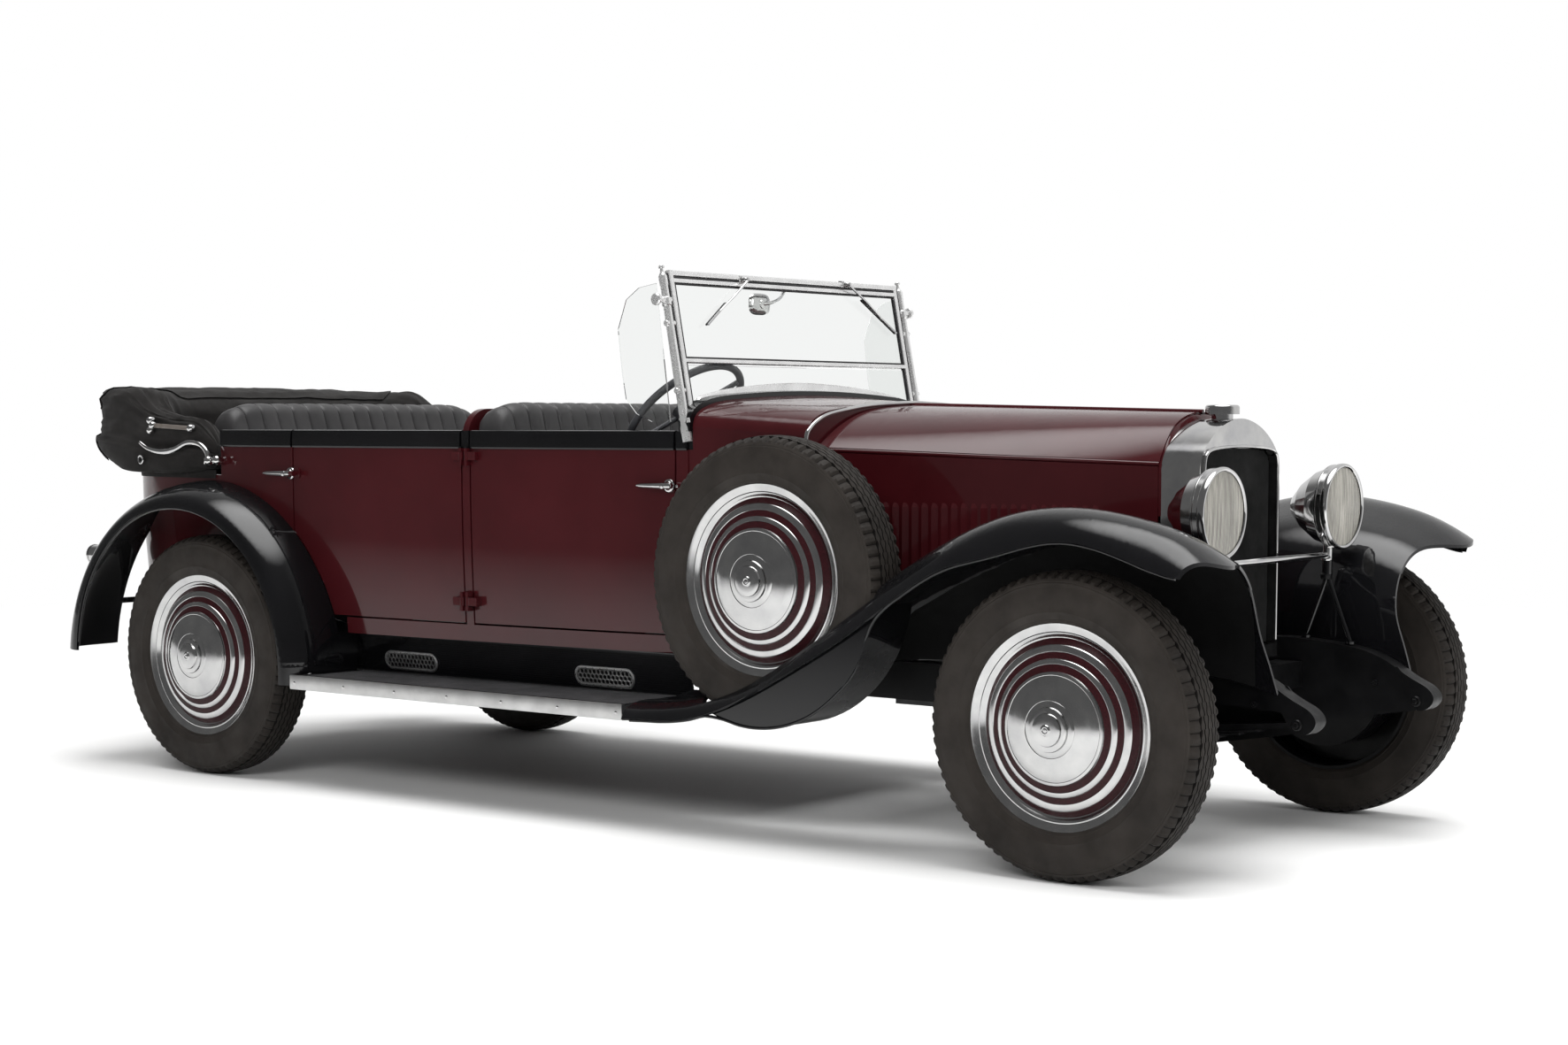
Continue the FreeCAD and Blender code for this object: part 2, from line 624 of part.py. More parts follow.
engine = box("engine_casting", "880", "250", "660", "front_axle_x - 1020", "-125", "340")
mount_span = "2 * (rail_y - rail_width / 2 - seat_gap)"
mount_side = "rail_width / 2 + seat_gap - rail_y"
mounts = [box("engine_mount_%d" % back, "60", mount_span, "50", "front_axle_x - %d" % back, mount_side,
              "frame_top - 80") for back in (320, 940)]
keep(fuse("engine_block", [engine] + mounts), "engine_block")
pipe = cylinder("exhaust_run", "24", "2060", "front_axle_x - 1020 - 2060", "80", "380", along_x)
silencer = cylinder("silencer", "62", "560", "front_axle_x - 2780", "80", "380", along_x)
keep(fuse("exhaust_pipe", [pipe, silencer]), "exhaust_pipe")
tank_x = "front_axle_x - wheelbase - frame_tail_behind + 50"
tank = box("fuel_tank", "230 - seat_gap", mount_span, "170", tank_x + " + seat_gap", mount_side,
           "frame_top + kick_up * 0.8 - 190")
keep(tank, "fuel_tank")

# Radiator: arched shell with a deep opening, and its vertical shutters

def arch_outline(x, inset=0.0, foot=0.0):
    half = size.shell_half_width - inset
    shoulder = size.shell_shoulder
    rise = size.shell_top - inset - shoulder
    steps = [(1.0, 0.0), (0.955, 0.27), (0.79, 0.56), (0.56, 0.79), (0.29, 0.94), (0.0, 1.0)]
    right = [Vector(x, -half * share, shoulder + rise * climb) for share, climb in steps]
    left = [Vector(x, -point.y, point.z) for point in reversed(right[:-1])]
    low = size.shell_bottom + foot
    edges = [spline(right + left), Part.makeLine(left[-1], Vector(x, half, low))]
    edges += [Part.makeLine(Vector(x, half, low), Vector(x, -half, low))]
    edges += [Part.makeLine(Vector(x, -half, low), right[0])]
    return Part.Face(Part.Wire(edges))


shell_x = ahead(-size.shell_front)
shell = arch_outline(shell_x).extrude(Vector(-size.shell_depth, 0, 0))
window_half = size.shell_half_width - 19
window_top = size.shell_top - 83
window_low = size.shell_bottom + 40


def window(inset, start_x, depth):
    """Block the shape of the radiator's opening, smaller all round by the inset."""
    half = window_half - inset
    top = window_top - inset
    right = [(-half, window_low + inset), (-half, top - 44), (-half + 8, top - 23), (-half + 31, top - 7)]
    right.append((-half + 75, top))
    corners = right + [(-y, z) for y, z in reversed(right)]
    return prism([Vector(start_x, y, z) for y, z in corners], Vector(-depth, 0, 0))


shell = shell.cut(window(0, shell_x, size.shell_depth))
bead_ring = window(-6, shell_x + 4, 8).cut(window(0, shell_x + 4, 8))
shell = shell.fuse(bead_ring)
neck = Part.makeCylinder(30, 30, Vector(ahead(-11), 0, size.shell_top - 14))
cap = Part.makeCylinder(48, 26, Vector(ahead(-11), 0, size.shell_top + 12))
cap = cap.makeFillet(8, [cap.Edges[0]])
foot = block((shell_x - size.shell_depth + 10, -200, size.frame_top + size.seat_gap),
             (shell_x - 10, 200, size.shell_bottom + 2))
keep(feature("radiator_shell", shell.fuse([neck, cap, foot])), "radiator_shell")

core = window(size.seat_gap, shell_x - 50, 40)
slat_space = window(4, shell_x - 26, 25)
slat_pitch = 16.0
slat_count = int(2 * window_half / slat_pitch)
for index in range(slat_count):
    y = (index - (slat_count - 1) / 2) * slat_pitch
    slat = block((shell_x - 51, y - 3, window_low), (shell_x - 26, y + 3, window_top))
    core = core.fuse(slat.common(slat_space))
keep(feature("radiator_core", core), "radiator_core")

# Bonnet: each side has a top panel hinged on the centre line and a side panel hinged to it

def bonnet_line(back, half_front, half_rear, high_front, high_rear):
    start, end = size.bonnet_front_back, size.bonnet_rear_back
    half = between(back, start, end, half_front, half_rear)
    return Vector(ahead(back), -half, between(back, start, end, high_front, high_rear))


def top_points(back):
    crest = bonnet_line(back, 0, 0, size.bonnet_top_front, size.bonnet_top_rear)
    edge = bonnet_line(back, size.bonnet_half_front, size.bonnet_half_rear,
                       size.bonnet_shoulder_front, size.bonnet_shoulder_rear)
    crest.y = -size.bead_radius - size.running_gap
    edge.y += size.bead_radius
    edge.z += 4
    drop = crest.z - edge.z
    reach = crest.y - edge.y
    shares = ((0.33, 0.07), (0.66, 0.30), (0.87, 0.66))
    middle = [Vector(crest.x, crest.y - reach * share, crest.z - drop * fall) for share, fall in shares]
    return [crest] + middle + [edge]


def side_points(back):
    edge = bonnet_line(back, size.bonnet_half_front, size.bonnet_half_rear,
                       size.bonnet_shoulder_front, size.bonnet_shoulder_rear)
    upper = edge + Vector(0, 0, -size.bead_radius - size.running_gap)
    lower = Vector(edge.x, edge.y, size.bonnet_bottom)
    return [upper, upper + (lower - upper) * 0.5, lower]


def bead(start, end, radius):
    return Part.makeCylinder(radius, (end - start).Length, start, end - start)


bonnet_ends = (size.bonnet_front_back, size.bonnet_rear_back)
forward = Vector(1, 0, 0)
top_panel = loft([thickened(top_points(back), forward, size.bonnet_sheet) for back in bonnet_ends])
hinge_line = [bonnet_line(back, size.bonnet_half_front, size.bonnet_half_rear, size.bonnet_shoulder_front,
                          size.bonnet_shoulder_rear) for back in bonnet_ends]
top_panel = top_panel.fuse(bead(*hinge_line, size.bead_radius))
side_panel = loft([thickened(side_points(back), forward, size.bonnet_sheet) for back in bonnet_ends], True)


def louvre(back):
    """Pressed louvre, open at its rear edge, on the outside of the right side panel."""
    wires = []
    reach = size.louvre_width / 2
    for level, rise in ((0.0, 1.0), (0.05, size.louvre_rise), (0.95, size.louvre_rise), (1.0, 1.0)):
        z = size.louvre_bottom + (size.louvre_top - size.louvre_bottom) * level
        front = bonnet_line(back - reach, size.bonnet_half_front, size.bonnet_half_rear, z, z)
        rear = bonnet_line(back + reach, size.bonnet_half_front, size.bonnet_half_rear, z, z)
        inside = Vector(0, 2 - size.bonnet_sheet, 0)
        outside = Vector(0, -size.bonnet_sheet - rise, 0)
        corners = [front + inside, rear + inside, rear + outside, front + inside]
        wires.append(Part.makePolygon(corners))
    return loft(wires, True)


louvre_pitch = (size.louvre_rear - size.louvre_front) / (size.louvre_count - 1)
side_panel = side_panel.fuse([louvre(size.louvre_front + index * louvre_pitch)
                              for index in range(int(size.louvre_count))])


def ledge(back_low, back_high):
    """Bent strip that lies under the edges of all four panels, inside them."""
    strips = []
    for points_at in (top_points, side_points):
        wires = []
        for back in (back_low, back_high):
            under = set_off(points_at(back), forward, -size.bonnet_sheet - 2 * size.seat_gap)
            wires.append(thickened(under, forward, size.bonnet_sheet))
        strips.append(loft(wires, points_at is side_points))
    half = strips[0].fuse(strips[1])
    return half.fuse(flip(half))


rear_ledge = ledge(size.bonnet_rear_back - size.flange_reach, size.cowl_front_back + 24)
for side, sign in sides.items():
    keep(feature("bonnet_top_" + side, top_panel if sign < 0 else flip(top_panel)), "bonnet_top_" + side)
    keep(feature("bonnet_side_" + side, side_panel if sign < 0 else flip(side_panel)), "bonnet_side_" + side)

# Body shell: a lofted tub, hollow, with the doors cut from its own walls

def body_outline(level, inset=0.0):
    lean = size.body_tuck * max(0.0, (size.board_top + 500 - level) / 500) ** 1.5
    less = inset + lean
    tail = body_tail_back - inset - 1.6 * lean
    wide = [(size.cowl_front_back, size.cowl_half_front), (size.cowl_rear_back, body_half_screen)]
    wide += [(post_back, body_half_post), (door_rear_back, body_half_wide)]
    wide += [(size.wheelbase + 300, body_half_wide - 32)]
    right = [Vector(ahead(back), -(half - less), level) for back, half in wide]
    right.append(Vector(ahead(tail - 90), -(body_half_wide - 150 - less), level))
    right.append(Vector(ahead(tail), 0, level))
    free = [Vector()] * (len(right) - 2)
    curve = Part.BSplineCurve()
    curve.interpolate(Points=right, Tangents=[Vector(-1, -0.15, 0)] + free + [Vector(0, 1, 0)],
                      TangentFlags=[True] + [False] * len(free) + [True])
    side = curve.toShape()
    return Part.Wire([side, flip(side), Part.makeLine(flip(side).Vertexes[0].Point, right[0])])


def body_block(low, high, inset=0.0):
    levels = [low, (low + high) / 2, high]
    return loft([body_outline(level, inset) for level in levels])


def across(back_low, back_high, low, high, half=beyond):
    return block((ahead(back_high), -half, low), (ahead(back_low), half, high))


outer = body_block(size.body_bottom, size.belt_top)
inner = body_block(size.body_bottom + size.floor_thickness, size.belt_top + 5, size.body_wall)
belt_low = size.belt_top - size.belt_depth
belt = body_block(belt_low, size.belt_top, -size.belt_proud)
belt = belt.cut(body_block(belt_low - 1, size.belt_top + 1, 2))
wall = outer.cut(inner).fuse(belt)
gap = size.panel_gap
tub = wall.cut(across(0, size.cowl_rear_back, 0, above))
rear_floor = size.frame_top + size.kick_up + 18
tub = tub.cut(across(size.wheelbase - 560, body_tail_back + 50, size.body_bottom - 1, rear_floor))
tub = tub.cut(across(size.wheelbase + 48, body_tail_back + 50, size.rear_deck, above))
rear_slab = body_block(rear_floor, rear_floor + 26, size.body_wall - 8)
rear_slab = rear_slab.common(across(size.wheelbase - 600, body_tail_back, 0, above))
riser_half = body_half_post - 60
riser = across(size.wheelbase - 580, size.wheelbase - 560, size.body_bottom, rear_floor + 26, riser_half)
tub = tub.fuse([rear_slab, riser])
arch_axis = Vector(0, 1, 0)


def arch_cylinder(radius, inner_y, outer_y):
    foot = Vector(ahead(arch_back), inner_y, size.arch_height)
    return Part.makeCylinder(radius, outer_y - inner_y, foot, arch_axis)


wheelhouse_y = size.half_track - size.tyre_half_width - 28
arch_turns = [2 + step * 22.0 for step in range(9)]


def arch_way(angle):
    turn = math.radians(angle)
    return Vector(-math.cos(turn), 0, math.sin(turn))


def arch_inner(angle):
    """Radius of the rear wing's inner edge, which spreads a little at its tail."""
    return size.arch_radius + 28 * max(0.0, 1 - angle / 66) ** 2


for low_y, high_y in ((wheelhouse_y, beyond), (-beyond, -wheelhouse_y)):
    tub = tub.cut(arch_cylinder(size.arch_radius - size.wing_sheet - 14, low_y, high_y))
door_spans = {
    "front": (door_front_back, post_back - size.post_width / 2, body_half_screen),
    "rear": (post_back + size.post_width / 2, door_rear_back, body_half_post),
}
doors = {}
for end, (start, finish, half) in door_spans.items():
    inside = size.body_wall + 16 - half
    opening = block((ahead(finish), -beyond, size.door_bottom), (ahead(start), inside, above))
    panel = block((ahead(finish) + gap, -beyond, size.door_bottom + gap), (ahead(start) - gap, 0, above))
    round_low = arch_cylinder(size.arch_radius + 8, -beyond, 0)
    round_door = arch_cylinder(size.arch_radius + 8 + gap, -beyond, 0)
    if end == "rear":
        opening = opening.cut(round_low)
        panel = panel.cut(round_door)
    if end == "front":
        step = block((ahead(start) - gap - 8, 20 - half, size.door_bottom), (ahead(start), 0, above))
        panel = panel.cut(step)
    tub = tub.cut([opening, flip(opening)])
    doors[end] = wall.common(panel)
front_box = across(post_back - 460, post_back - 60, size.body_bottom + size.floor_thickness, 770,
                   body_half_post - 136)
rear_box = across(door_rear_back - 60, size.wheelbase + 150, rear_floor + 26, 800, body_half_wide - 142)
tub = tub.fuse([front_box, rear_box])
hinge_out = body_half_post + size.hinge_offset
hinge_levels = (size.hinge_low, size.hinge_high)


def hinge_x(end):
    """Hinge axis of a front or rear door, both on the middle post."""
    return ahead(post_back + size.hinge_spread * (-1 if end == "front" else 1))


for end in ("front", "rear"):
    for level in hinge_levels:
        foot = Vector(hinge_x(end), -hinge_out, level - 30)
        pin = Part.makeCylinder(4, 60, foot)
        lugs = block((foot.x - 6, -hinge_out - 6, level - 30), (foot.x + 6, 18 - hinge_out, level + 30))
        low_corner = (foot.x - 30, -hinge_out - 30, level - 14)
        lugs = lugs.cut(block(low_corner, (foot.x + 30, 13 - hinge_out, level + 14)))
        knuckle = pin.fuse(lugs)
        tub = tub.fuse([knuckle, flip(knuckle)])
keep(feature("body_tub", tub.removeSplitter()), "body_tub")

handle_z = {"front": 1003, "rear": 1022}


def handle(end, panel):
    """Tapered lever that points rearwards from its pivot near the door's edge."""
    edge = door_front_back + gap + 18 if end == "front" else door_rear_back - gap - 18
    start = Vector(ahead(edge), -beyond, handle_z[end])
    skin = Part.makeLine(start, Vector(start.x, 0, start.z)).common(panel).BoundBox.YMin
    root = Vector(start.x, skin, start.z)
    pieces = [Part.makeCylinder(19, 8, root + Vector(0, 3, 0), Vector(0, -1, 0))]
    pieces.append(Part.makeCylinder(8, 36, root + Vector(0, 3, 0), Vector(0, -1, 0)))
    neck = root + Vector(14, -28, 0)
    pieces.append(Part.makeCone(9, 6, 96, neck, Vector(-1, 0, 0)))
    pieces.append(Part.makeCone(6, 2, 20, neck - Vector(96, 0, 0), Vector(-1, 0, 0)))
    return pieces


for end, panel in doors.items():
    leaves = []
    for level in hinge_levels:
        foot = Vector(hinge_x(end), -hinge_out, level - 13)
        barrel = Part.makeCylinder(8, 26, foot)
        way = 1 if end == "front" else -1
        reach = foot.x + 40 * way
        near = foot.x + 9 * way
        leaf_corner = (min(foot.x, reach), -hinge_out - 3, level - 13)
        leaf = block(leaf_corner, (max(foot.x, reach), 22 - hinge_out, level + 13))
        relief = block((min(near, foot.x - 20 * way), -hinge_out + 3, level - 20),
                       (max(near, foot.x - 20 * way), 0, level + 20))
        pin_bore = Part.makeCylinder(4 + size.running_gap, 30, foot - Vector(0, 0, 2))
        leaves.append(barrel.fuse(leaf.cut(relief)).cut(pin_bore))
    whole = panel.fuse(handle(end, panel) + leaves)
    for side, sign in sides.items():
        label = "door_%s_%s" % (end, side)
        keep(feature(label, whole if sign < 0 else flip(whole)), label)

# Cowl: domed shell from the bonnet to the screen, with its bulkhead

def cowl_section(back, inset=0.0):
    start, end = size.cowl_front_back, size.cowl_rear_back
    half = between(back, start, end, size.cowl_half_front, body_half_screen) - inset
    crest = between(back, start, end, size.cowl_top_front, size.cowl_top_rear) - inset
    low = size.body_bottom
    shoulder = crest - 96 + inset * 0.4
    x = ahead(back)
    steps = [(1.0, 0.0), (0.975, 0.36), (0.90, 0.62), (0.66, 0.86), (0.34, 0.965), (0.0, 1.0)]
    rise = crest - shoulder
    right = [Vector(x, -half * share, shoulder + rise * climb) for share, climb in steps]
    left = [Vector(x, -point.y, point.z) for point in reversed(right[:-1])]
    foot = half - size.body_tuck * 0.6
    edges = [spline(right + left), Part.makeLine(left[-1], Vector(x, foot, low))]
    edges += [Part.makeLine(Vector(x, foot, low), Vector(x, -foot, low))]
    edges += [Part.makeLine(Vector(x, -foot, low), right[0])]
    return Part.Wire(edges)


cowl_ends = (size.cowl_front_back, size.cowl_rear_back)
dome = loft([cowl_section(back) for back in cowl_ends], True)
hollow = loft([cowl_section(back, size.cowl_wall) for back in cowl_ends], True)
hollow = hollow.cut(across(0, size.cowl_front_back + 18, 0, above))
cowl = dome.cut(hollow)
collar_front = size.screen_foot_back + 18 - size.collar_width
collar_ends = (collar_front, collar_front + size.collar_width)
collar = loft([cowl_section(back, -size.collar_rise) for back in collar_ends], True)
collar = collar.cut(loft([cowl_section(back, 4) for back in (collar_front - 1, collar_ends[1] + 1)], True))
collar = collar.common(across(*collar_ends, size.belt_top + size.seat_gap, above))
cowl = cowl.fuse(collar)
column_hole = Part.makeCylinder(40, 900, Vector(ahead(size.steering_back), -size.steering_y, size.steering_z),
                                Vector(1, 0, -1))
rod_ends = [Vector(ahead(-size.shell_front + size.shell_depth) - size.seat_gap, 0,
                   size.bonnet_top_front + size.hinge_rise),
            Vector(ahead(size.cowl_front_back + 30), 0, size.bonnet_top_rear + size.hinge_rise)]
centre_rod = bead(*rod_ends, size.bead_radius)
keep(feature("cowl", cowl.cut(column_hole).fuse([centre_rod, rear_ledge])), "cowl")

# Dashboard, steering column and steering wheel

dash = dome.common(across(size.cowl_rear_back - 34, size.cowl_rear_back - 16, 1095, above))
dash = dash.common(loft([cowl_section(back, size.cowl_wall + size.seat_gap) for back in cowl_ends], True))
keep(feature("dashboard", dash), "dashboard")

wheel_centre = Vector(ahead(size.steering_back), -size.steering_y, size.steering_z)
column_way = Vector(1, 0, -1).normalize()
column = Part.makeCylinder(19, 960, wheel_centre + column_way * 24, column_way)
column = column.fuse(Part.makeCylinder(12, 40, wheel_centre - column_way * 8, column_way))
bracket_foot = (wheel_centre.x + 170, wheel_centre.y - 12, 1000)
bracket = block(bracket_foot, (wheel_centre.x + 190, wheel_centre.y + 12, 1094.7))
steering_box = block((wheel_centre.x + 640, -size.rail_y - 22, size.frame_top + size.seat_gap),
                     (wheel_centre.x + 740, -size.rail_y + 60, size.frame_top + 95))
column = column.fuse([bracket.cut(Part.makeCylinder(15, 900, wheel_centre, column_way)), steering_box])
keep(feature("steering_column", column), "steering_column")

rim = Part.makeTorus(size.steering_radius, 12)
hub = Part.makeCylinder(32, 34, Vector(0, 0, -14))
spokes = []
for quarter in range(4):
    spoke = Part.makeCylinder(8, size.steering_radius - 4, Vector(), Vector(1, 0, 0))
    spoke.rotate(Vector(), Vector(0, 0, 1), 45 + 90 * quarter)
    spokes.append(spoke)
steering = rim.fuse([hub] + spokes).cut(Part.makeCylinder(12 + size.running_gap, 24, Vector(0, 0, -15)))
steering.Placement = Placement(wheel_centre, Rotation(Vector(0, 1, 0), -45))
keep(feature("steering_wheel", steering), "steering_wheel")

# Windscreen: raked stanchions, three bars and two panes

screen_foot = Vector(ahead(size.screen_foot_back), 0, size.screen_foot_z)
screen_head = Vector(screen_foot.x - size.screen_rake, 0, size.screen_head_z)
screen_way = (screen_head - screen_foot).normalize()
rake_angle = math.degrees(math.atan2(size.screen_rake, size.screen_head_z - size.screen_foot_z))


def on_screen(level, y=0.0):
    share = (level - size.screen_foot_z) / (size.screen_head_z - size.screen_foot_z)
    return screen_foot + (screen_head - screen_foot) * share + Vector(0, y, 0)


def screen_bar(level, radius):
    return Part.makeCylinder(radius, 2 * size.screen_half_width, on_screen(level, -size.screen_half_width),
                             Vector(0, 1, 0))


screen_parts = [screen_bar(size.screen_head_z, 10), screen_bar(size.screen_bar_z, 9)]
for sign in (-1, 1):
    side_y = sign * (size.screen_half_width)
    start = on_screen(size.screen_foot_z + 20, side_y)
    end = on_screen(size.screen_head_z, side_y)
    screen_parts.append(Part.makeCylinder(9, (end - start).Length, start, end - start))
    post_y = sign * (size.screen_half_width + 32)
    start = on_screen(size.screen_foot_z - 30, post_y)
    end = on_screen(size.screen_head_z + 16, post_y)
    screen_parts.append(Part.makeCone(15, 11, (end - start).Length, start, end - start))
    for level in (size.screen_bar_z - 90, size.screen_bar_z + 110):   # clamps of the side glasses
        clamp = on_screen(level, post_y) - Vector(14, 0, 0)
        screen_parts.append(Part.makeCylinder(8, 18 - size.seat_gap, clamp, Vector(0, sign, 0)))
    for level in (size.screen_bar_z, size.screen_head_z - 4):
        screen_parts.append(Part.makeCylinder(8, 34, on_screen(level, sign * (size.screen_half_width + 34)),
                                              Vector(0, -sign, 0)))
cowl_ends = (size.cowl_front_back, size.cowl_rear_back)
dome_skin = loft([cowl_section(back, -size.seat_gap) for back in cowl_ends], True)
collar_space = loft([cowl_section(back, -size.collar_rise - size.seat_gap)
                     for back in (collar_front - 3, collar_ends[1] + 12)], True)
belt_skin = body_block(size.body_bottom, size.belt_top + size.seat_gap, -size.belt_proud - size.seat_gap)
belt_skin = belt_skin.common(across(size.cowl_rear_back - 10, post_back, 0, above))
screen = screen_parts[0].fuse(screen_parts[1:]).cut([dome_skin, belt_skin, collar_space])
keep(feature("windscreen_frame", screen), "windscreen_frame")

def pane(low, high):
    half = size.screen_half_width - 9.3
    slab = Part.makeBox(6, 2 * half, high - low, Vector(-3, -half, 0))
    slab.rotate(Vector(), Vector(0, 1, 0), -rake_angle)
    return slab.translated(on_screen(low))


deflector = [(1542, 1603), (1609, 1592), (1660, 1558), (1693, 1470), (1677, 1338), (1662, 1260), (1620, 1217)]
deflector += [(1559, 1193), (1487, 1193)]
panes = [pane(size.screen_foot_z, size.screen_bar_z - 9.3).cut([dome_skin, belt_skin, collar_space])]
panes.append(pane(size.screen_bar_z + 9.3, size.screen_head_z - 10.3))
for sign in (-1, 1):
    y = sign * (size.screen_half_width + 50)
    wing_glass = prism([Vector(ahead(back), y, z) for back, z in deflector], Vector(0, 5 * sign, 0))
    panes.append(wing_glass)
keep(feature("windscreen_glass", Part.makeCompound(panes)), "windscreen_glass")

# Seats: plain closed forms of the upholstery, and the front seat's back panel

def seat_back(front_back, thickness, low, lean, half):
    base = [Vector(ahead(front_back), -half, low), Vector(ahead(front_back + thickness), -half, low)]
    base.append(Vector(ahead(front_back + thickness + lean), -half, size.seat_top - 20))
    base.append(Vector(ahead(front_back + thickness * 0.5 + lean), -half, size.seat_top))
    base.append(Vector(ahead(front_back + lean), -half, size.seat_top - 30))
    outline = rounded(front_back - 60, 400, half, low, size.seat_top, 110)
    return prism(base, Vector(0, 2 * half, 0)).common(outline)


def rounded(front_back, depth, half, low, top, radius):
    """Block across the car whose upper corners are rounded."""
    x = ahead(front_back)
    block_low = [Vector(x, -half, top - radius), Vector(x, -half, low), Vector(x, half, low),
                 Vector(x, half, top - radius)]
    corner = radius * (1 - math.sqrt(0.5))
    arcs = []
    for sign in (1, -1):
        ends = [Vector(x, sign * half, top - radius), Vector(x, sign * (half - corner), top - corner),
                Vector(x, sign * (half - radius), top)]
        arcs.append(Part.Arc(*(ends if sign > 0 else ends[::-1])).toShape())
    head = Part.makeLine(Vector(x, half - radius, top), Vector(x, radius - half, top))
    wire = Part.Wire(Part.makePolygon(block_low).Edges + [arcs[0], head, arcs[1]])
    return Part.Face(wire).extrude(Vector(-depth, 0, 0))


front_half = body_half_post - size.body_wall - 22
cushion = across(post_back - 470, post_back - 50, 770 + size.seat_gap, 900, front_half - 40)
rest = seat_back(post_back - 128, 110, 900 + size.seat_gap, 46, front_half)
keep(feature("front_seat", Part.makeCompound([cushion, rest])), "front_seat")
panel_back = post_back + 44
panel_foot = size.body_bottom + size.floor_thickness
seat_panel = rounded(panel_back, 26, front_half + 8, panel_foot, size.seat_top - 20, 90)
keep(feature("seat_back_panel", seat_panel), "seat_back_panel")
rear_half = body_half_wide - size.body_wall - 50
cushion = across(door_rear_back - 70, size.wheelbase + 150, 800 + size.seat_gap, 930, rear_half - 40)
rest = seat_back(size.wheelbase + 40, 110, 930 + size.seat_gap, 60, rear_half)
keep(feature("rear_seat", Part.makeCompound([cushion, rest])), "rear_seat")

# Folded hood in its cover, and the irons on its sides

deck = size.rear_deck + size.seat_gap
hood_side = [(3452, 0), (4020, 0), (4115, 30), (4222, 96), (4240, 170), (4225, 276)]
hood_side += [(4024, size.hood_top - deck), (3816, size.hood_top - deck - 2)]
hood_side += [(3640, 202), (3526, 200), (3463, 110)]
outline_points = [Vector(ahead(back), -size.hood_half_width, deck + high) for back, high in hood_side]
bag = prism(outline_points, Vector(0, 2 * size.hood_half_width, 0))
bag = bag.cut(across(3300, 3850, 0, 2000, body_half_wide - size.body_wall - 40))
keep(feature("hood_bag", bag), "hood_bag")

def iron(knots, radius, y):
    """Bar through the knots, with a ball at each."""
    solids = []
    points = [Vector(ahead(back), y, z) for back, z in knots]
    for start, end in zip(points, points[1:]):
        solids.append(Part.makeCylinder(radius, (end - start).Length, start, end - start))
    return solids + [Part.makeSphere(radius, point) for point in points]


iron_arm = [(3839, 1121), (3780, 1098), (3716, 1090), (3640, 1104), (3575, 1121), (3510, 1112), (3480, 1085)]
iron_arm += [(3476, 1062), (3440, 1062)]
iron_link = [(3769, 1181), (3565, 1171)]
irons = []
for sign in (-1, 1):
    y = sign * (size.hood_half_width + 7 + size.seat_gap)
    ball = Part.makeSphere(14, Vector(ahead(3430), y, 1062))
    boss_feet = [Vector(ahead(back), y - 7, z) for back, z in iron_link]
    bosses = [Part.makeCylinder(10, 14, foot, Vector(0, 1, 0)) for foot in boss_feet]
    arm = iron(iron_arm, 7, y) + [ball]
    irons.append(arm[0].fuse(arm[1:]))
    link = iron(iron_link, 5, y) + bosses
    irons.append(link[0].fuse(link[1:]))
keep(feature("hood_irons", Part.makeCompound(irons)), "hood_irons")

# Headlamps on their bar, their lenses, and the tail lamps

lamp_rim = ahead(-size.lamp_front)
bowl_profile = [(0, 0), (0, size.lamp_radius - 8), (-6, size.lamp_radius), (-24, size.lamp_radius)]
bowl_profile += [(-30, size.lamp_radius - 7), (-70, size.lamp_radius * 0.83), (-115, size.lamp_radius * 0.56)]
bowl_profile += [(-148, size.lamp_radius * 0.25), (-size.lamp_depth, 0)]
section = Part.Face(Part.makePolygon([Vector(x, 0, r) for x, r in bowl_profile + bowl_profile[:1]]))
bowl = section.revolve(Vector(), Vector(1, 0, 0), 360)
lamp_parts = []
lenses = []
for sign in (-1, 1):
    centre = Vector(lamp_rim, sign * size.lamp_y, size.lamp_z)
    lamp_parts.append(bowl.translated(centre))
    bar_x = lamp_rim - 42
    post_foot = Vector(bar_x, sign * size.lamp_y, size.lamp_bar_z - 58)
    lamp_parts.append(Part.makeCylinder(14, size.lamp_z - 100 - post_foot.z, post_foot))
    for reach in (98, 236):
        back = -reach
        top_z = max(rail_top(back - 16), rail_top(back + 16)) + size.seat_gap
        foot = Vector(ahead(back), sign * size.rail_y, top_z)
        lamp_parts.append(Part.makeCylinder(15, 7, foot))
        foot.z += 6
        lamp_parts.append(Part.makeCylinder(7, (post_foot - foot).Length + 8, foot, post_foot - foot))
    lens = Part.makeCylinder(size.lamp_radius - 9, 6, centre + Vector(size.seat_gap, 0, 0), Vector(1, 0, 0))
    lenses.append(lens)
bar_end = Vector(bar_x, -size.lamp_y, size.lamp_bar_z)
lamp_bar = Part.makeCylinder(9, 2 * size.lamp_y, bar_end, Vector(0, 1, 0))
keep(feature("headlamps", lamp_parts[0].fuse(lamp_parts[1:] + [lamp_bar])), "headlamps")
keep(feature("headlamp_glasses", Part.makeCompound(lenses)), "headlamp_glasses")

# Wings: bent sheets lofted through stations

valance_fall = [(1.0, 0.08), (0.6, 0.165), (0.26, 0.31), (0.08, 0.52), (0.02, 0.76), (0.0, 1.0)]


def front_wing_points(back, lip, roll, crest, inner_y, inner_z):
    out = wing_outer
    points = [(out, lip), (out - 12, (lip + roll) / 2 + 4), (out - 52, roll + (crest - roll) * 0.62)]
    points.append((wing_crown, crest))
    span = wing_crown - 100 - inner_y
    points += [(inner_y + span * share, crest - (crest - inner_z) * fall) for share, fall in valance_fall]
    return [Vector(ahead(back), -y, z) for y, z in points]


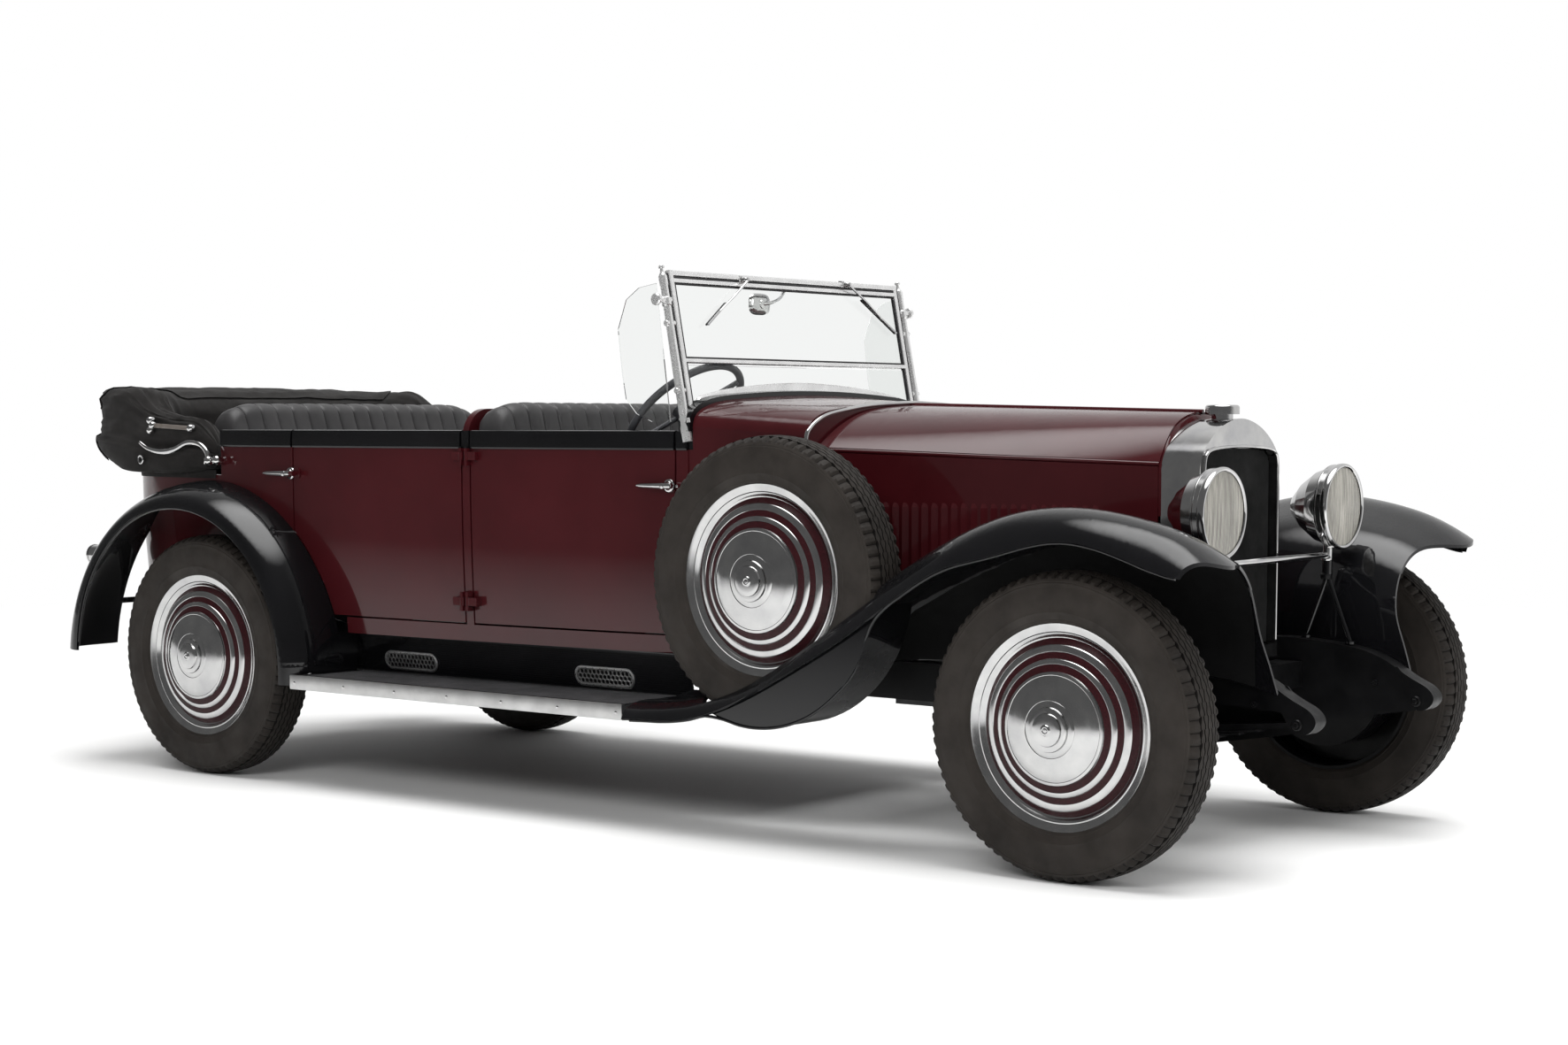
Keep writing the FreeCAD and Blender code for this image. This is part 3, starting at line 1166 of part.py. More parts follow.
wing_root = size.rail_y + size.rail_width / 2 + size.wing_sheet + size.valance_gap
wing_foot = size.board_inner + 0.71 * size.wing_sheet
front_wing_stations = [
    (-450, 764, 788, 806, wing_root, 462),
    (-348, 806, 846, 882, wing_root, 496),
    (-194, 852, 900, 934, wing_root, 520),
    (0, 884, 930, 960, wing_root, 520),
    (201, 838, 900, 938, wing_root, 505),
    (335, 804, 849, 890, wing_root + 14, 505),
    (522, 697, 744, 790, 470, 520),
    (676, 597, 646, 690, 520, 520),
    (835, 507, 545, 585, 560, 500),
    (999, 422, 448, 490, 580, 470),
    (1168, 355, 389, 415, wing_foot - 6, 400),
    (1330, 330, 364, 378, wing_foot, 372),
    (1467, 324, 358, 367, wing_foot, 366),
]
wing = loft([thickened(front_wing_points(*station), forward * -1, size.wing_sheet)
             for station in front_wing_stations])

def front_trim():
    """What is cut away ahead of the right wing's rounded front and ahead of its valance."""
    level = 757
    plan = [(wing_root - 80, -86), (wing_root + 40, -84), (wing_crown - 140, -60), (wing_crown - 70, -24)]
    plan += [(wing_crown, 0), (wing_crown + 80, -14), (wing_outer - 18, -48), (wing_outer + 50, -116)]
    edge = [Vector(ahead(-size.wing_front - reach), -y, level) for y, reach in plan]
    far = ahead(-size.wing_front - 200)
    rest = [edge[-1], Vector(far, edge[-1].y, level), Vector(far, edge[0].y, level), edge[0]]
    tip = Part.Face(Part.Wire([spline(edge)] + Part.makePolygon(rest).Edges)).extrude(Vector(0, 0, 400))
    side = [(0, level), (0, 715), (3, 672), (12, 625), (30, 573), (64, 465), (86, 400)]
    edge = [Vector(ahead(-size.valance_front - reach), -beyond, z) for reach, z in side]
    rest = [edge[-1], Vector(far, -beyond, edge[-1].z), Vector(far, -beyond, level), edge[0]]
    low = Part.Face(Part.Wire([spline(edge)] + Part.makePolygon(rest).Edges)).extrude(Vector(0, beyond, 0))
    return tip.fuse(low)


wing = wing.cut(front_trim())
spare_centre = Vector(ahead(size.spare_back), -spare_y, size.spare_z)


def spare_drum(radius, half_width):
    return Part.makeCylinder(radius, 2 * half_width, spare_centre - Vector(0, half_width, 0), Vector(0, 1, 0))


well_radius = size.tyre_radius + size.seat_gap
well_half = size.tyre_half_width + 4
well = spare_drum(well_radius + 8, well_half + 7).cut(spare_drum(well_radius, well_half))
below = [(ahead(back), roll - 14) for back, lip, roll, crest, inner_y, inner_z in front_wing_stations[5:]]
below_points = [Vector(x, -1000, z) for x, z in below]
below_points += [Vector(below[-1][0], -1000, 200), Vector(below[0][0], -1000, 200)]
well = well.common(prism(below_points, Vector(0, 1000, 0)))
wing = wing.cut(spare_drum(well_radius, well_half)).fuse(well)
keep(feature("front_wings", Part.makeCompound([wing, flip(wing)])), "front_wings")


def rear_wing_points(angle, inner_radius, crease_radius, lip_radius):
    inner = body_half_wide - 90
    out = wing_outer
    rows = [(inner, inner_radius + 8), (inner * 0.6 + out * 0.4, inner_radius)]
    rows += [(out - 26, crease_radius), (out - 6, (crease_radius + lip_radius) / 2 + 4), (out, lip_radius)]
    centre = Vector(ahead(arch_back), 0, size.arch_height)
    way = arch_way(angle)
    return [centre + way * radius + Vector(0, -y, 0) for y, radius in rows], way.cross(Vector(0, 1, 0))


rear_sections = []
for angle in arch_turns:
    points, normal = rear_wing_points(angle, arch_inner(angle), arch_inner(angle) - 38, size.arch_lip_radius)
    rear_sections.append(thickened(points, normal * -1, size.wing_sheet))
rear_wing = loft(rear_sections).cut(body_block(size.body_bottom, size.belt_top, -size.seat_gap))
keep(feature("rear_wings", Part.makeCompound([rear_wing, flip(rear_wing)])), "rear_wings")

# Running boards and splash aprons

board_length = "wheelbase - board_rear_ahead - board_front_back"
board_width = "half_track + board_beyond_track - board_inner"
board_x = "front_axle_x - wheelbase + board_rear_ahead"
board_y = "-1 * half_track - board_beyond_track"
board = box("board_right", board_length, board_width, "board_thickness",
            board_x, board_y, "board_top - board_thickness")
mat = box("board_mat", board_length + " - 4 * mat_margin - 80", board_width + " - 2 * mat_margin",
          "mat_thickness", board_x + " + 2 * mat_margin + 60", board_y + " + mat_margin", "board_top")
keep(both_sides("running_boards", fuse("board_with_mat", [board, mat])), "running_boards")

apron_corners = [("board_inner - 6 - seat_gap", "board_top - board_thickness"),
                 ("board_inner - seat_gap", "board_top - board_thickness")]
apron_corners += [("board_inner - seat_gap", "board_top + 8"), ("board_inner + 21", "body_bottom - seat_gap")]
apron_corners += [("board_inner + 15", "body_bottom - seat_gap")]
apron_corners += [("board_inner - 6 - seat_gap", "board_top + 8")]
apron = padded("apron_left", "YZ_Plane", apron_corners, board_length + " + 40", False)
move(apron, board_x)
apron_foot = Vector(0, size.board_inner - size.seat_gap, size.board_top + 8)
apron_lean = math.degrees(math.atan2(21 + size.seat_gap, size.body_bottom - size.seat_gap - apron_foot.z))


def stadium(length, height, thickness):
    """Long rounded block, lying along X and centred on the origin, thick along +Y."""
    reach = (length - height) / 2
    across_y = Vector(0, 1, 0)
    ends = [Part.makeCylinder(height / 2, thickness, Vector(x, 0, 0), across_y) for x in (-reach, reach)]
    return block((-reach, 0, -height / 2), (reach, thickness, height / 2)).fuse(ends).removeSplitter()


def vent(back):
    rim = stadium(size.vent_length, size.vent_height, 8)
    rim = rim.cut(stadium(size.vent_length - 2 * size.vent_rim, size.vent_height - 2 * size.vent_rim, 8))
    rim.rotate(Vector(), Vector(1, 0, 0), -apron_lean)
    rise = size.vent_z - apron_foot.z
    return rim.translated(Vector(ahead(back), apron_foot.y - 4 + rise * math.tan(math.radians(apron_lean)),
                                 size.vent_z))


vents = feature("apron_vents", Part.makeCompound([vent(size.board_front_back + 309),
                                                 vent(size.wheelbase - size.board_rear_ahead - 286)]))
keep(both_sides("splash_aprons", fuse("apron_with_vents", [apron, vents])), "splash_aprons")

lamps = []
stay_top = size.frame_top + kick_low - 1.5
stay_low = stay_top - 20
for sign in (-1, 1):
    base = Vector(ahead(frame_tail_back + 120), sign * (body_half_wide - 112), 709)
    lamps.append(Part.makeCylinder(36, 52, base, Vector(-1, 0, 0)))
    lamps.append(block((base.x - 20, base.y - 10, stay_low), (base.x, base.y + 10, base.z - 8)))
    lamps.append(block((base.x - 20, min(base.y, sign * size.rail_y) - 10, stay_low),
                       (base.x, max(base.y, sign * size.rail_y) + 10, stay_top)))
    lamps.append(block((base.x - 20, sign * size.rail_y - 14, stay_low),
                       (ahead(frame_tail_back) + 20, sign * size.rail_y + 14, stay_top)))
left_lamp = lamps[0].fuse(lamps[1:4])
right_lamp = lamps[4].fuse(lamps[5:])
keep(feature("tail_lamps", Part.makeCompound([left_lamp, right_lamp])), "tail_lamps")

doc.recompute()

for item in doc.Objects:
    if "Invalid" in item.State or "Error" in item.State:
        raise RuntimeError("object %s failed: %s %s" % (item.Name, item.State, item.getStatusString()))
for item in nodes:
    if item.Shape.isNull() or not item.Shape.isValid() or item.Shape.Volume <= 0:
        raise RuntimeError("sub-part %s has no valid shape" % item.Label)

os.makedirs("parts", exist_ok=True)
for item in nodes:
    item.Shape.exportStep("parts/%s.step" % item.Label)

whole = Part.makeCompound([item.Shape for item in nodes]).BoundBox
print("nodes", len(nodes))
corners = (whole.XMin, whole.XMax, whole.YMin, whole.YMax, whole.ZMin, whole.ZMax)
print("box", [round(value, 1) for value in corners])
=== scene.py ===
import math
import bmesh
import bpy
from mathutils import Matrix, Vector, noise
from mathutils.bvhtree import BVHTree


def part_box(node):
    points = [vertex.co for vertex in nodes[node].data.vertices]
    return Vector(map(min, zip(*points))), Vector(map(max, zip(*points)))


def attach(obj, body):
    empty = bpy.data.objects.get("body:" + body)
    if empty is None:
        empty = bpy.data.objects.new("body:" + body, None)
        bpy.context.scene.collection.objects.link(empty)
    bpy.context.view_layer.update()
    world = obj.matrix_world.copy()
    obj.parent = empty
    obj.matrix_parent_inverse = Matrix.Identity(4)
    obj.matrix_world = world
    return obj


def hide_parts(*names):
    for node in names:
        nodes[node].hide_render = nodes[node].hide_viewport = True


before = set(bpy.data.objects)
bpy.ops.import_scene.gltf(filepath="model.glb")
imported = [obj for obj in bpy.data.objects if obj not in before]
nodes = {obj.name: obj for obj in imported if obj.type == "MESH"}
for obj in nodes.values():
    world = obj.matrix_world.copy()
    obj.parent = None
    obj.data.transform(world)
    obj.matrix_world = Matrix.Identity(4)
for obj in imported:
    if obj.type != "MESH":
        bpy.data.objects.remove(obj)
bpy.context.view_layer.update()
scene = bpy.context.scene
sideSigns = {"right": -1, "left": 1}


def tell(stage):
    print("stage:", stage)


# Places read from the frame, in metres, and steps between two of them

def middle(nodeName):
    low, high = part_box(nodeName)
    return (low + high) / 2


def spread(start, end, steps):
    return [start + (end - start) * step / steps for step in range(steps + 1)]


axleX = middle("tyre_front_right").x   # x of the front axle
tyreRadius = (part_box("tyre_front_right")[1].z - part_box("tyre_front_right")[0].z) / 2
forward = Vector((1, 0, 0))
upward = Vector((0, 0, 1))


def behind(distance):
    return axleX - distance


# Camera

cameraSpec = {
    "aheadOfAxle": 3.4863,
    "side": -6.4454,
    "height": 1.191,
    "look": (-0.6136, 0.7856, -0.0799),
    "sensor": 36.0,
    "lens": 58.93,
    "shiftY": 0.0674,
    "farthest": 200,
}


def makeCamera(spec):
    data = bpy.data.cameras.new("photoCamera")
    data.sensor_width = spec["sensor"]
    data.lens = spec["lens"]
    data.shift_y = spec["shiftY"]
    data.clip_end = spec["farthest"]
    camera = bpy.data.objects.new("photoCamera", data)
    scene.collection.objects.link(camera)
    camera.location = (axleX + spec["aheadOfAxle"], spec["side"], spec["height"])
    camera.rotation_euler = Vector(spec["look"]).to_track_quat("-Z", "Y").to_euler()
    scene.camera = camera


makeCamera(cameraSpec)
tell("camera")


# Node helpers for materials

socketNames = {
    "baseColour": "Base Color", "metallic": "Metallic", "roughness": "Roughness", "ior": "IOR",
    "coat": "Coat Weight", "coatRoughness": "Coat Roughness", "specular": "Specular IOR Level",
    "transmission": "Transmission Weight", "sheen": "Sheen Weight", "sheenRoughness": "Sheen Roughness",
}


class Nodes:
    def __init__(self, tree):
        self.tree = tree

    def join(self, source, target):
        self.tree.links.new(source, target)

    def node(self, kind, *sources, **settings):
        # the sources go to the node's first inputs
        made = self.tree.nodes.new("ShaderNode" + kind)
        for name, value in settings.items():
            if name in made.inputs:
                made.inputs[name].default_value = value
            else:
                setattr(made, name, value)
        for source, target in zip(sources, made.inputs):
            self.join(source, target)
        return made

    def math(self, operation, *sources):
        return self.node("Math", *sources, operation=operation).outputs["Value"]

    def remap(self, factor, low, high, fromLow=0.3, fromHigh=0.7, kind="LINEAR"):
        limits = {"From Min": fromLow, "From Max": fromHigh, "To Min": low, "To Max": high}
        return self.node("MapRange", factor, interpolation_type=kind, **limits).outputs["Result"]

    def anyRay(self, *names):
        # one where the ray is of one of these kinds
        path = self.node("LightPath")
        value = path.outputs[names[0]]
        for name in names[1:]:
            value = self.math("MAXIMUM", value, path.outputs[name])
        return value


class Shader(Nodes):
    def __init__(self, name, **values):
        self.material = bpy.data.materials.new(name)
        self.material.use_nodes = True
        super().__init__(self.material.node_tree)
        self.surface = self.tree.nodes["Principled BSDF"]
        self.coords = None
        for name, value in values.items():
            self.surface.inputs[socketNames[name]].default_value = value

    def place(self):
        if self.coords is None:
            self.coords = self.node("TexCoord")
        return self.coords.outputs["Object"]

    def axis(self, name):
        return self.node("SeparateXYZ", self.place()).outputs[name]

    def noise(self, scale, detail=4.0, roughness=0.55, stretch=None):
        vector = self.place()
        if stretch:
            vector = self.node("Mapping", vector, Scale=stretch).outputs["Vector"]
        return self.node("TexNoise", vector, Scale=scale, Detail=detail, Roughness=roughness).outputs["Fac"]

    def ramp(self, factor, low, dark, high, light):
        made = self.node("ValToRGB", factor)
        for element, position, colour in zip(made.color_ramp.elements, (low, high), (dark, light)):
            element.position = position
            element.color = (*colour, 1)
        return made.outputs["Color"]

    def mix(self, factor, one, two):
        made = self.node("Mix", data_type="RGBA")
        for source, index in ((factor, 0), (one, 6), (two, 7)):
            self.join(source, made.inputs[index])
        return made.outputs[2]

    def beyond(self, value, limit, operation="GREATER_THAN"):
        made = self.node("Math", value, operation=operation)
        made.inputs[1].default_value = limit
        return made.outputs["Value"]

    def bump(self, height, distance, strength=1.0, normal=None):
        made = self.node("Bump", Distance=distance, Strength=strength)
        self.join(height, made.inputs["Height"])
        if normal is not None:
            self.join(normal, made.inputs["Normal"])
        return made.outputs["Normal"]

    def finish(self, colour=None, roughness=None, normal=None):
        for value, name in ((colour, "Base Color"), (roughness, "Roughness"), (normal, "Normal")):
            if value is not None:
                self.join(value, self.surface.inputs[name])
        return self.material


# Paint: deep gloss with a faint waviness. A belt is another colour above its foot and behind its front.

def paint(name, dark, light, belt=None):
    s = Shader(name, metallic=0.0, coat=0.75, coatRoughness=0.04, ior=1.45, roughness=0.4, specular=0.06)
    spreadOf = s.noise(2.2, 5.0)
    tone = s.ramp(spreadOf, 0.32, dark, 0.72, light)
    if belt:
        foot, front, beltDark, beltLight = belt
        inside = s.math("MULTIPLY", s.beyond(s.axis("Z"), foot), s.beyond(s.axis("X"), front, "LESS_THAN"))
        tone = s.mix(inside, tone, s.ramp(spreadOf, 0.32, beltDark, 0.72, beltLight))
    peel = s.bump(s.noise(160.0, 2.0), 0.00012, 0.25)
    panel = s.bump(s.noise(3.0, 2.0), 0.0010, 0.30, peel)
    return s.finish(tone, s.remap(s.noise(9.0, 6.0, 0.65), 0.30, 0.46), panel)


# Painted maroon rings of the wheel discs: the light and dark mottle in their colour is painted reflection
def reflectionMottledPaint(name, dark, light):
    s = Shader(name, coat=0.12, coatRoughness=0.25, specular=0.2)
    tone = s.ramp(s.noise(420.0, 3.0), 0.38, dark, 0.62, light)
    return s.finish(tone, s.remap(s.noise(60.0, 5.0), 0.45, 0.65), s.bump(s.noise(380.0, 2.0), 0.0002, 0.3))


# Bright metal, hand polished, with fine scratches and slight haze. The lamps are bright above a foot and
# black enamel below it.

def brightMetal(name, dark, light, low, high, metallic=1.0, scratches=(900.0, 900.0, 30.0)):
    s = Shader(name, metallic=metallic, roughness=0.12)
    tone = s.ramp(s.noise(14.0, 6.0), 0.30, dark, 0.70, light)
    fine = s.bump(s.noise(1.0, 3.0, 0.6, scratches), 0.00004, 0.35)
    haze = s.remap(s.noise(22.0, 6.0, 0.7), low, high)
    return s.finish(tone, haze, s.bump(s.noise(30.0, 2.0), 0.0003, 0.15, fine))


def lampMetal(name, dark, light, black, foot):
    s = Shader(name, coat=0.3, coatRoughness=0.05)
    bright = s.beyond(s.axis("Z"), foot)
    s.join(bright, s.surface.inputs["Metallic"])
    tone = s.mix(bright, s.ramp(s.noise(9.0), 0.3, black, 0.7, black),
                 s.ramp(s.noise(14.0, 6.0), 0.30, dark, 0.70, light))
    haze = s.remap(s.noise(22.0, 6.0, 0.7), 0.05, 0.14)
    return s.finish(tone, haze, s.bump(s.noise(30.0, 2.0), 0.0003, 0.15))


def rubber(name, dark, light, grain=420.0, low=0.52, high=0.78):
    s = Shader(name, roughness=0.65, specular=0.22)
    tone = s.ramp(s.noise(7.0, 8.0, 0.62), 0.30, dark, 0.72, light)
    return s.finish(tone, s.remap(s.noise(18.0, 5.0), low, high), s.bump(s.noise(grain, 3.0), 0.0003, 0.35))


def leather(name, dark, light):
    s = Shader(name, roughness=0.42, coat=0.08, coatRoughness=0.35, specular=0.3)
    cells = s.node("TexVoronoi", s.place(), Scale=260.0, feature="DISTANCE_TO_EDGE")
    grain = s.bump(cells.outputs["Distance"], 0.0006, 0.35)
    tone = s.ramp(s.noise(6.0, 7.0), 0.30, dark, 0.72, light)
    folds = s.bump(s.noise(34.0, 4.0), 0.002, 0.20, grain)
    return s.finish(tone, s.remap(s.noise(16.0, 6.0), 0.34, 0.58), folds)


def cloth(name, dark, light, threads=1500.0):
    s = Shader(name, roughness=0.9, sheen=0.06, sheenRoughness=0.5, specular=0.15)
    weave = [s.node("TexWave", s.place(), Scale=threads / 6.3, bands_direction=direction).outputs["Fac"]
             for direction in ("X", "Z")]
    tone = s.ramp(s.noise(9.0, 8.0, 0.65), 0.28, dark, 0.74, light)
    fold = s.bump(s.noise(16.0, 3.0), 0.004, 0.25)
    fold = s.bump(s.math("MAXIMUM", *weave), 0.0004, 0.4, fold)
    return s.finish(tone, s.remap(s.noise(30.0), 0.80, 0.97), fold)


def wood(name, dark, light):
    s = Shader(name, roughness=0.3, coat=0.6, coatRoughness=0.1)
    rings = s.noise(1.0, 6.0, 0.6, (60.0, 6.0, 60.0))
    return s.finish(s.ramp(rings, 0.30, dark, 0.70, light), s.remap(s.noise(20.0), 0.25, 0.4),
                    s.bump(rings, 0.0003, 0.3))


def clearGlass(name, tint, smudge=0.004):
    s = Shader(name, transmission=1.0, ior=1.25, baseColour=(*tint, 1))
    return s.finish(None, s.remap(s.noise(5.0, 5.0), 0.0, smudge))


# Fluted lenses: the streaked beige and the darker bands between the flutes are painted reflection and shade,
# for the light that the fluted glass shows. The tail lens's red is its own.
def lensGlass(name, dark, light, transmission):
    s = Shader(name, transmission=transmission, ior=1.45, coat=0.6, coatRoughness=0.03)
    streak = s.noise(1.0, 4.0, 0.6, (4.0, 130.0, 9.0))
    flutes = s.node("TexWave", s.place(), Scale=52.0, bands_direction="Y").outputs["Fac"]
    groove = s.ramp(flutes, 0.0, tuple(0.55 * part for part in dark), 1.0, dark)
    shaded = s.mix(s.remap(flutes, 0.0, 1.0, 0.0, 0.35), groove, s.ramp(streak, 0.34, dark, 0.66, light))
    return s.finish(shaded, s.remap(s.noise(40.0), 0.10, 0.22))


def runningGear(name, dark, light, low=0.35, high=0.6):
    s = Shader(name, roughness=0.5, coat=0.12, coatRoughness=0.25, specular=0.15)
    tone = s.ramp(s.noise(11.0, 8.0, 0.7), 0.30, dark, 0.75, light)
    return s.finish(tone, s.remap(s.noise(24.0, 6.0), low, high), s.bump(s.noise(90.0, 4.0), 0.0006, 0.3))


# A finish is its maker, a dark and a light colour, and what else the maker takes. Each colour is linear.

maroonTones = ((0.034, 0.0036, 0.0050), (0.050, 0.0056, 0.0078))
blackTones = ((0.0020, 0.0020, 0.0024), (0.0046, 0.0046, 0.0054))
nickelTones = ((0.50, 0.50, 0.51), (0.64, 0.635, 0.625))
finishTable = {
    "maroonPaint": (paint, *maroonTones),
    "bodyPaint": (paint, *maroonTones, (1.1100, behind(1.4245), *blackTones)),
    "blackPaint": (paint, *blackTones),
    # its mottle is painted reflection
    "ringMaroon": (reflectionMottledPaint, (0.0075, 0.0006, 0.0012), (0.034, 0.0030, 0.0054)),
    "nickel": (brightMetal, *nickelTones, 0.05, 0.14),
    "lampMetal": (lampMetal, *nickelTones, (0.003, 0.003, 0.0035), 0.796),
    "screenNickel": (brightMetal, (0.74, 0.74, 0.74), (0.88, 0.88, 0.875), 0.18, 0.36, 0.78),
    "edgeMetal": (brightMetal, (0.46, 0.46, 0.46), (0.60, 0.60, 0.595), 0.30, 0.42, 1.0, (6.0, 160.0, 160.0)),
    "ventMetal": (brightMetal, (0.62, 0.62, 0.62), (0.78, 0.78, 0.775), 0.42, 0.55),
    "discMetal": (brightMetal, (0.44, 0.44, 0.445), (0.56, 0.56, 0.555), 0.09, 0.18),
    "tyreRubber": (rubber, (0.0135, 0.0112, 0.0096), (0.0290, 0.0245, 0.0212)),
    "treadRubber": (rubber, (0.0115, 0.0097, 0.0085), (0.0245, 0.0208, 0.0180), 300.0, 0.6, 0.85),
    # painted shade: the tyres' grooves and notches take this darker rubber
    "grooveRubber": (rubber, (0.0030, 0.0026, 0.0024), (0.0075, 0.0064, 0.0056), 300.0, 0.8, 0.95),
    "matRubber": (rubber, (0.020, 0.020, 0.021), (0.040, 0.039, 0.041), 260.0, 0.45, 0.7),
    "gripRubber": (rubber, (0.035, 0.036, 0.04), (0.06, 0.06, 0.066), 200.0, 0.3, 0.5),
    # dull black sheet over the valances on the wheels' side
    "underseal": (rubber, (0.0018, 0.0018, 0.0019), (0.0042, 0.0042, 0.0044), 120.0, 0.85, 0.97),
    "blackLeather": (leather, (0.0210, 0.0203, 0.0212), (0.0430, 0.0416, 0.0424)),
    "carpet": (cloth, (0.018, 0.0165, 0.0155), (0.040, 0.037, 0.034), 420.0),
    "hoodCloth": (cloth, (0.0086, 0.0079, 0.0076), (0.0200, 0.0184, 0.0176)),
    "dashWood": (wood, (0.05, 0.018, 0.006), (0.16, 0.065, 0.022)),
    "screenGlass": (clearGlass, (0.900, 0.912, 0.904)),
    # the streaked beige of the headlamp lens is painted reflection
    "lampGlass": (lensGlass, (0.24, 0.23, 0.20), (0.50, 0.48, 0.425), 0.2),
    "redGlass": (lensGlass, (0.22, 0.004, 0.003), (0.42, 0.012, 0.008), 0.4),
    "gearBlack": (runningGear, (0.0012, 0.0012, 0.0015), (0.0048, 0.0048, 0.0052)),
    "finMetal": (runningGear, (0.012, 0.012, 0.012), (0.030, 0.030, 0.030), 0.4, 0.6),
    # painted highlight: the radiator's fins are a lighter grey than its black core
    "castIron": (runningGear, (0.03, 0.032, 0.034), (0.08, 0.08, 0.08), 0.5, 0.8),
    "ironBar": (runningGear, (0.10, 0.085, 0.075), (0.19, 0.17, 0.155), 0.25, 0.4),
    "exhaustSteel": (runningGear, (0.05, 0.035, 0.028), (0.13, 0.11, 0.095), 0.5, 0.8),
}
finishes = {name: make(name, *values) for name, (make, *values) in finishTable.items()}

# Finish of each CAD node, by the start of its name
nodeFinish = {
    "maroonPaint": ("seat_back_panel", "bonnet"),
    "bodyPaint": ("cowl", "body_tub", "door"),
    "blackPaint": ("radiator_core", "front_wings", "rear_wings", "splash_aprons"),
    "nickel": ("radiator_shell", "windscreen_frame", "hood_irons", "tail_lamps", "spare_wheels", "wheel"),
    "lampMetal": ("headlamps",),
    "tyreRubber": ("spare_tyres", "tyre"),
    "matRubber": ("running_boards",),
    "gripRubber": ("steering_wheel",),
    "blackLeather": ("front_seat", "rear_seat"),
    "hoodCloth": ("hood_bag",),
    "dashWood": ("dashboard",),
    "screenGlass": ("windscreen_glass",),
    "lampGlass": ("headlamp_glasses",),
    "castIron": ("engine_block",),
    "exhaustSteel": ("exhaust_pipe",),
    "gearBlack": ("chassis_frame", "front_axle", "rear_axle", "leaf_springs", "fuel_tank", "steering_column",
                  "track_rod", "knuckle"),
}

for nodeName, node in nodes.items():
    finish = next(name for name, starts in nodeFinish.items() if nodeName.startswith(starts))
    if not node.material_slots:
        node.data.materials.append(finishes[finish])
    for slot in node.material_slots:
        slot.material = finishes[finish]
tell("finishes")


# Mesh building: rows of points are joined into bands, and each band has its own finish.

class Shell:
    def __init__(self):
        self.points = []
        self.faces = []
        self.marks = []
        self.finishNames = []

    def mark(self, finish):
        if finish not in self.finishNames:
            self.finishNames.append(finish)
        return self.finishNames.index(finish)

    def row(self, points):
        first = len(self.points)
        self.points += [tuple(point) for point in points]
        return list(range(first, len(self.points)))

    def band(self, one, two, finish, closed=False):
        count = len(one)
        for index in range(count if closed else count - 1):
            after = (index + 1) % count
            self.faces.append((one[index], one[after], two[after], two[index]))
            self.marks.append(self.mark(finish))

    def grid(self, rows, finish, closed=False):
        made = [self.row(points) for points in rows]
        for one, two in zip(made, made[1:]):
            self.band(one, two, finish, closed)
        return made

    def cap(self, ring, finish):
        self.faces.append(tuple(ring))
        self.marks.append(self.mark(finish))

    def solid(self, rows, finish):
        made = self.grid(rows, finish, closed=True)
        self.cap(made[0], finish)
        self.cap(made[-1], finish)

    def rod(self, path, radius, finish, count=12):
        # round bar along a path; the radius is one number or one for each point
        path = [Vector(point) for point in path]
        radii = radius if isinstance(radius, (list, tuple)) else [radius] * len(path)
        across = None
        rows = []
        for index, point in enumerate(path):
            way = wayAt(path, index)
            if across is None:
                across = frameFor(way)[0]
            across = (across - way * across.dot(way)).normalized()
            rows.append(circle(point, across, way.cross(across), radii[index], count))
        self.solid(rows, finish)

    def turned(self, profile, centre, way, finish, count=48):
        # revolved profile of (distance along the axis, radius); a finish may be given for each band
        across, other = frameFor(way)
        way = way.normalized()
        rings = [self.row(circle(centre + way * along, across, other, max(radius, 1e-5), count))
                 for along, radius in profile]
        names = finish if isinstance(finish, list) else [finish] * (len(profile) - 1)
        for one, two, name in zip(rings, rings[1:], names):
            self.band(one, two, name, closed=True)

    def bolt(self, centre, way, radius, height, finish, sides=6):
        across, other = frameFor(way)
        way = way.normalized()
        self.solid([circle(centre + way * height * share, across, other, radius * size, sides)
                    for share, size in ((0, 1), (0.8, 1), (1, 0.82))], finish)

    def bar(self, path, wide, deep, across, finish):
        # flat bar with rounded edges; across is the direction of its width
        path = [Vector(point) for point in path]
        across = Vector(across).normalized()
        corner = min(wide, deep) * 0.22
        outline = []
        for turn, (sideX, sideY) in enumerate(((1, 1), (-1, 1), (-1, -1), (1, -1))):
            for angle in (math.radians(90 * turn + 45 * step) for step in range(3)):
                outline.append((sideX * (wide / 2 - corner) + corner * math.cos(angle),
                                sideY * (deep / 2 - corner) + corner * math.sin(angle)))
        rows = []
        for index, point in enumerate(path):
            way = wayAt(path, index)
            flat = (across - way * across.dot(way)).normalized()
            other = way.cross(flat)
            rows.append([point + flat * one + other * two for one, two in outline])
        self.solid(rows, finish)

    def mesh(self, name, smooth=32.0, normals=True):
        mesh = bpy.data.meshes.new(name)
        mesh.from_pydata(self.points, [], self.faces)
        for finish in self.finishNames:
            mesh.materials.append(finishes[finish])
        mesh.polygons.foreach_set("material_index", self.marks)
        work = bmesh.new()
        work.from_mesh(mesh)
        bmesh.ops.remove_doubles(work, verts=work.verts, dist=1e-6)
        bmesh.ops.dissolve_degenerate(work, edges=work.edges, dist=1e-7)
        if normals:
            bmesh.ops.recalc_face_normals(work, faces=work.faces)
        work.to_mesh(mesh)
        work.free()
        mesh.shade_smooth()
        mesh.set_sharp_from_angle(angle=math.radians(smooth))
        return mesh

    def piece(self, name, body, slotName, smooth=32.0, replaced=(), normals=True):
        return placed(name, self.mesh(name, smooth, normals), body, replaced)


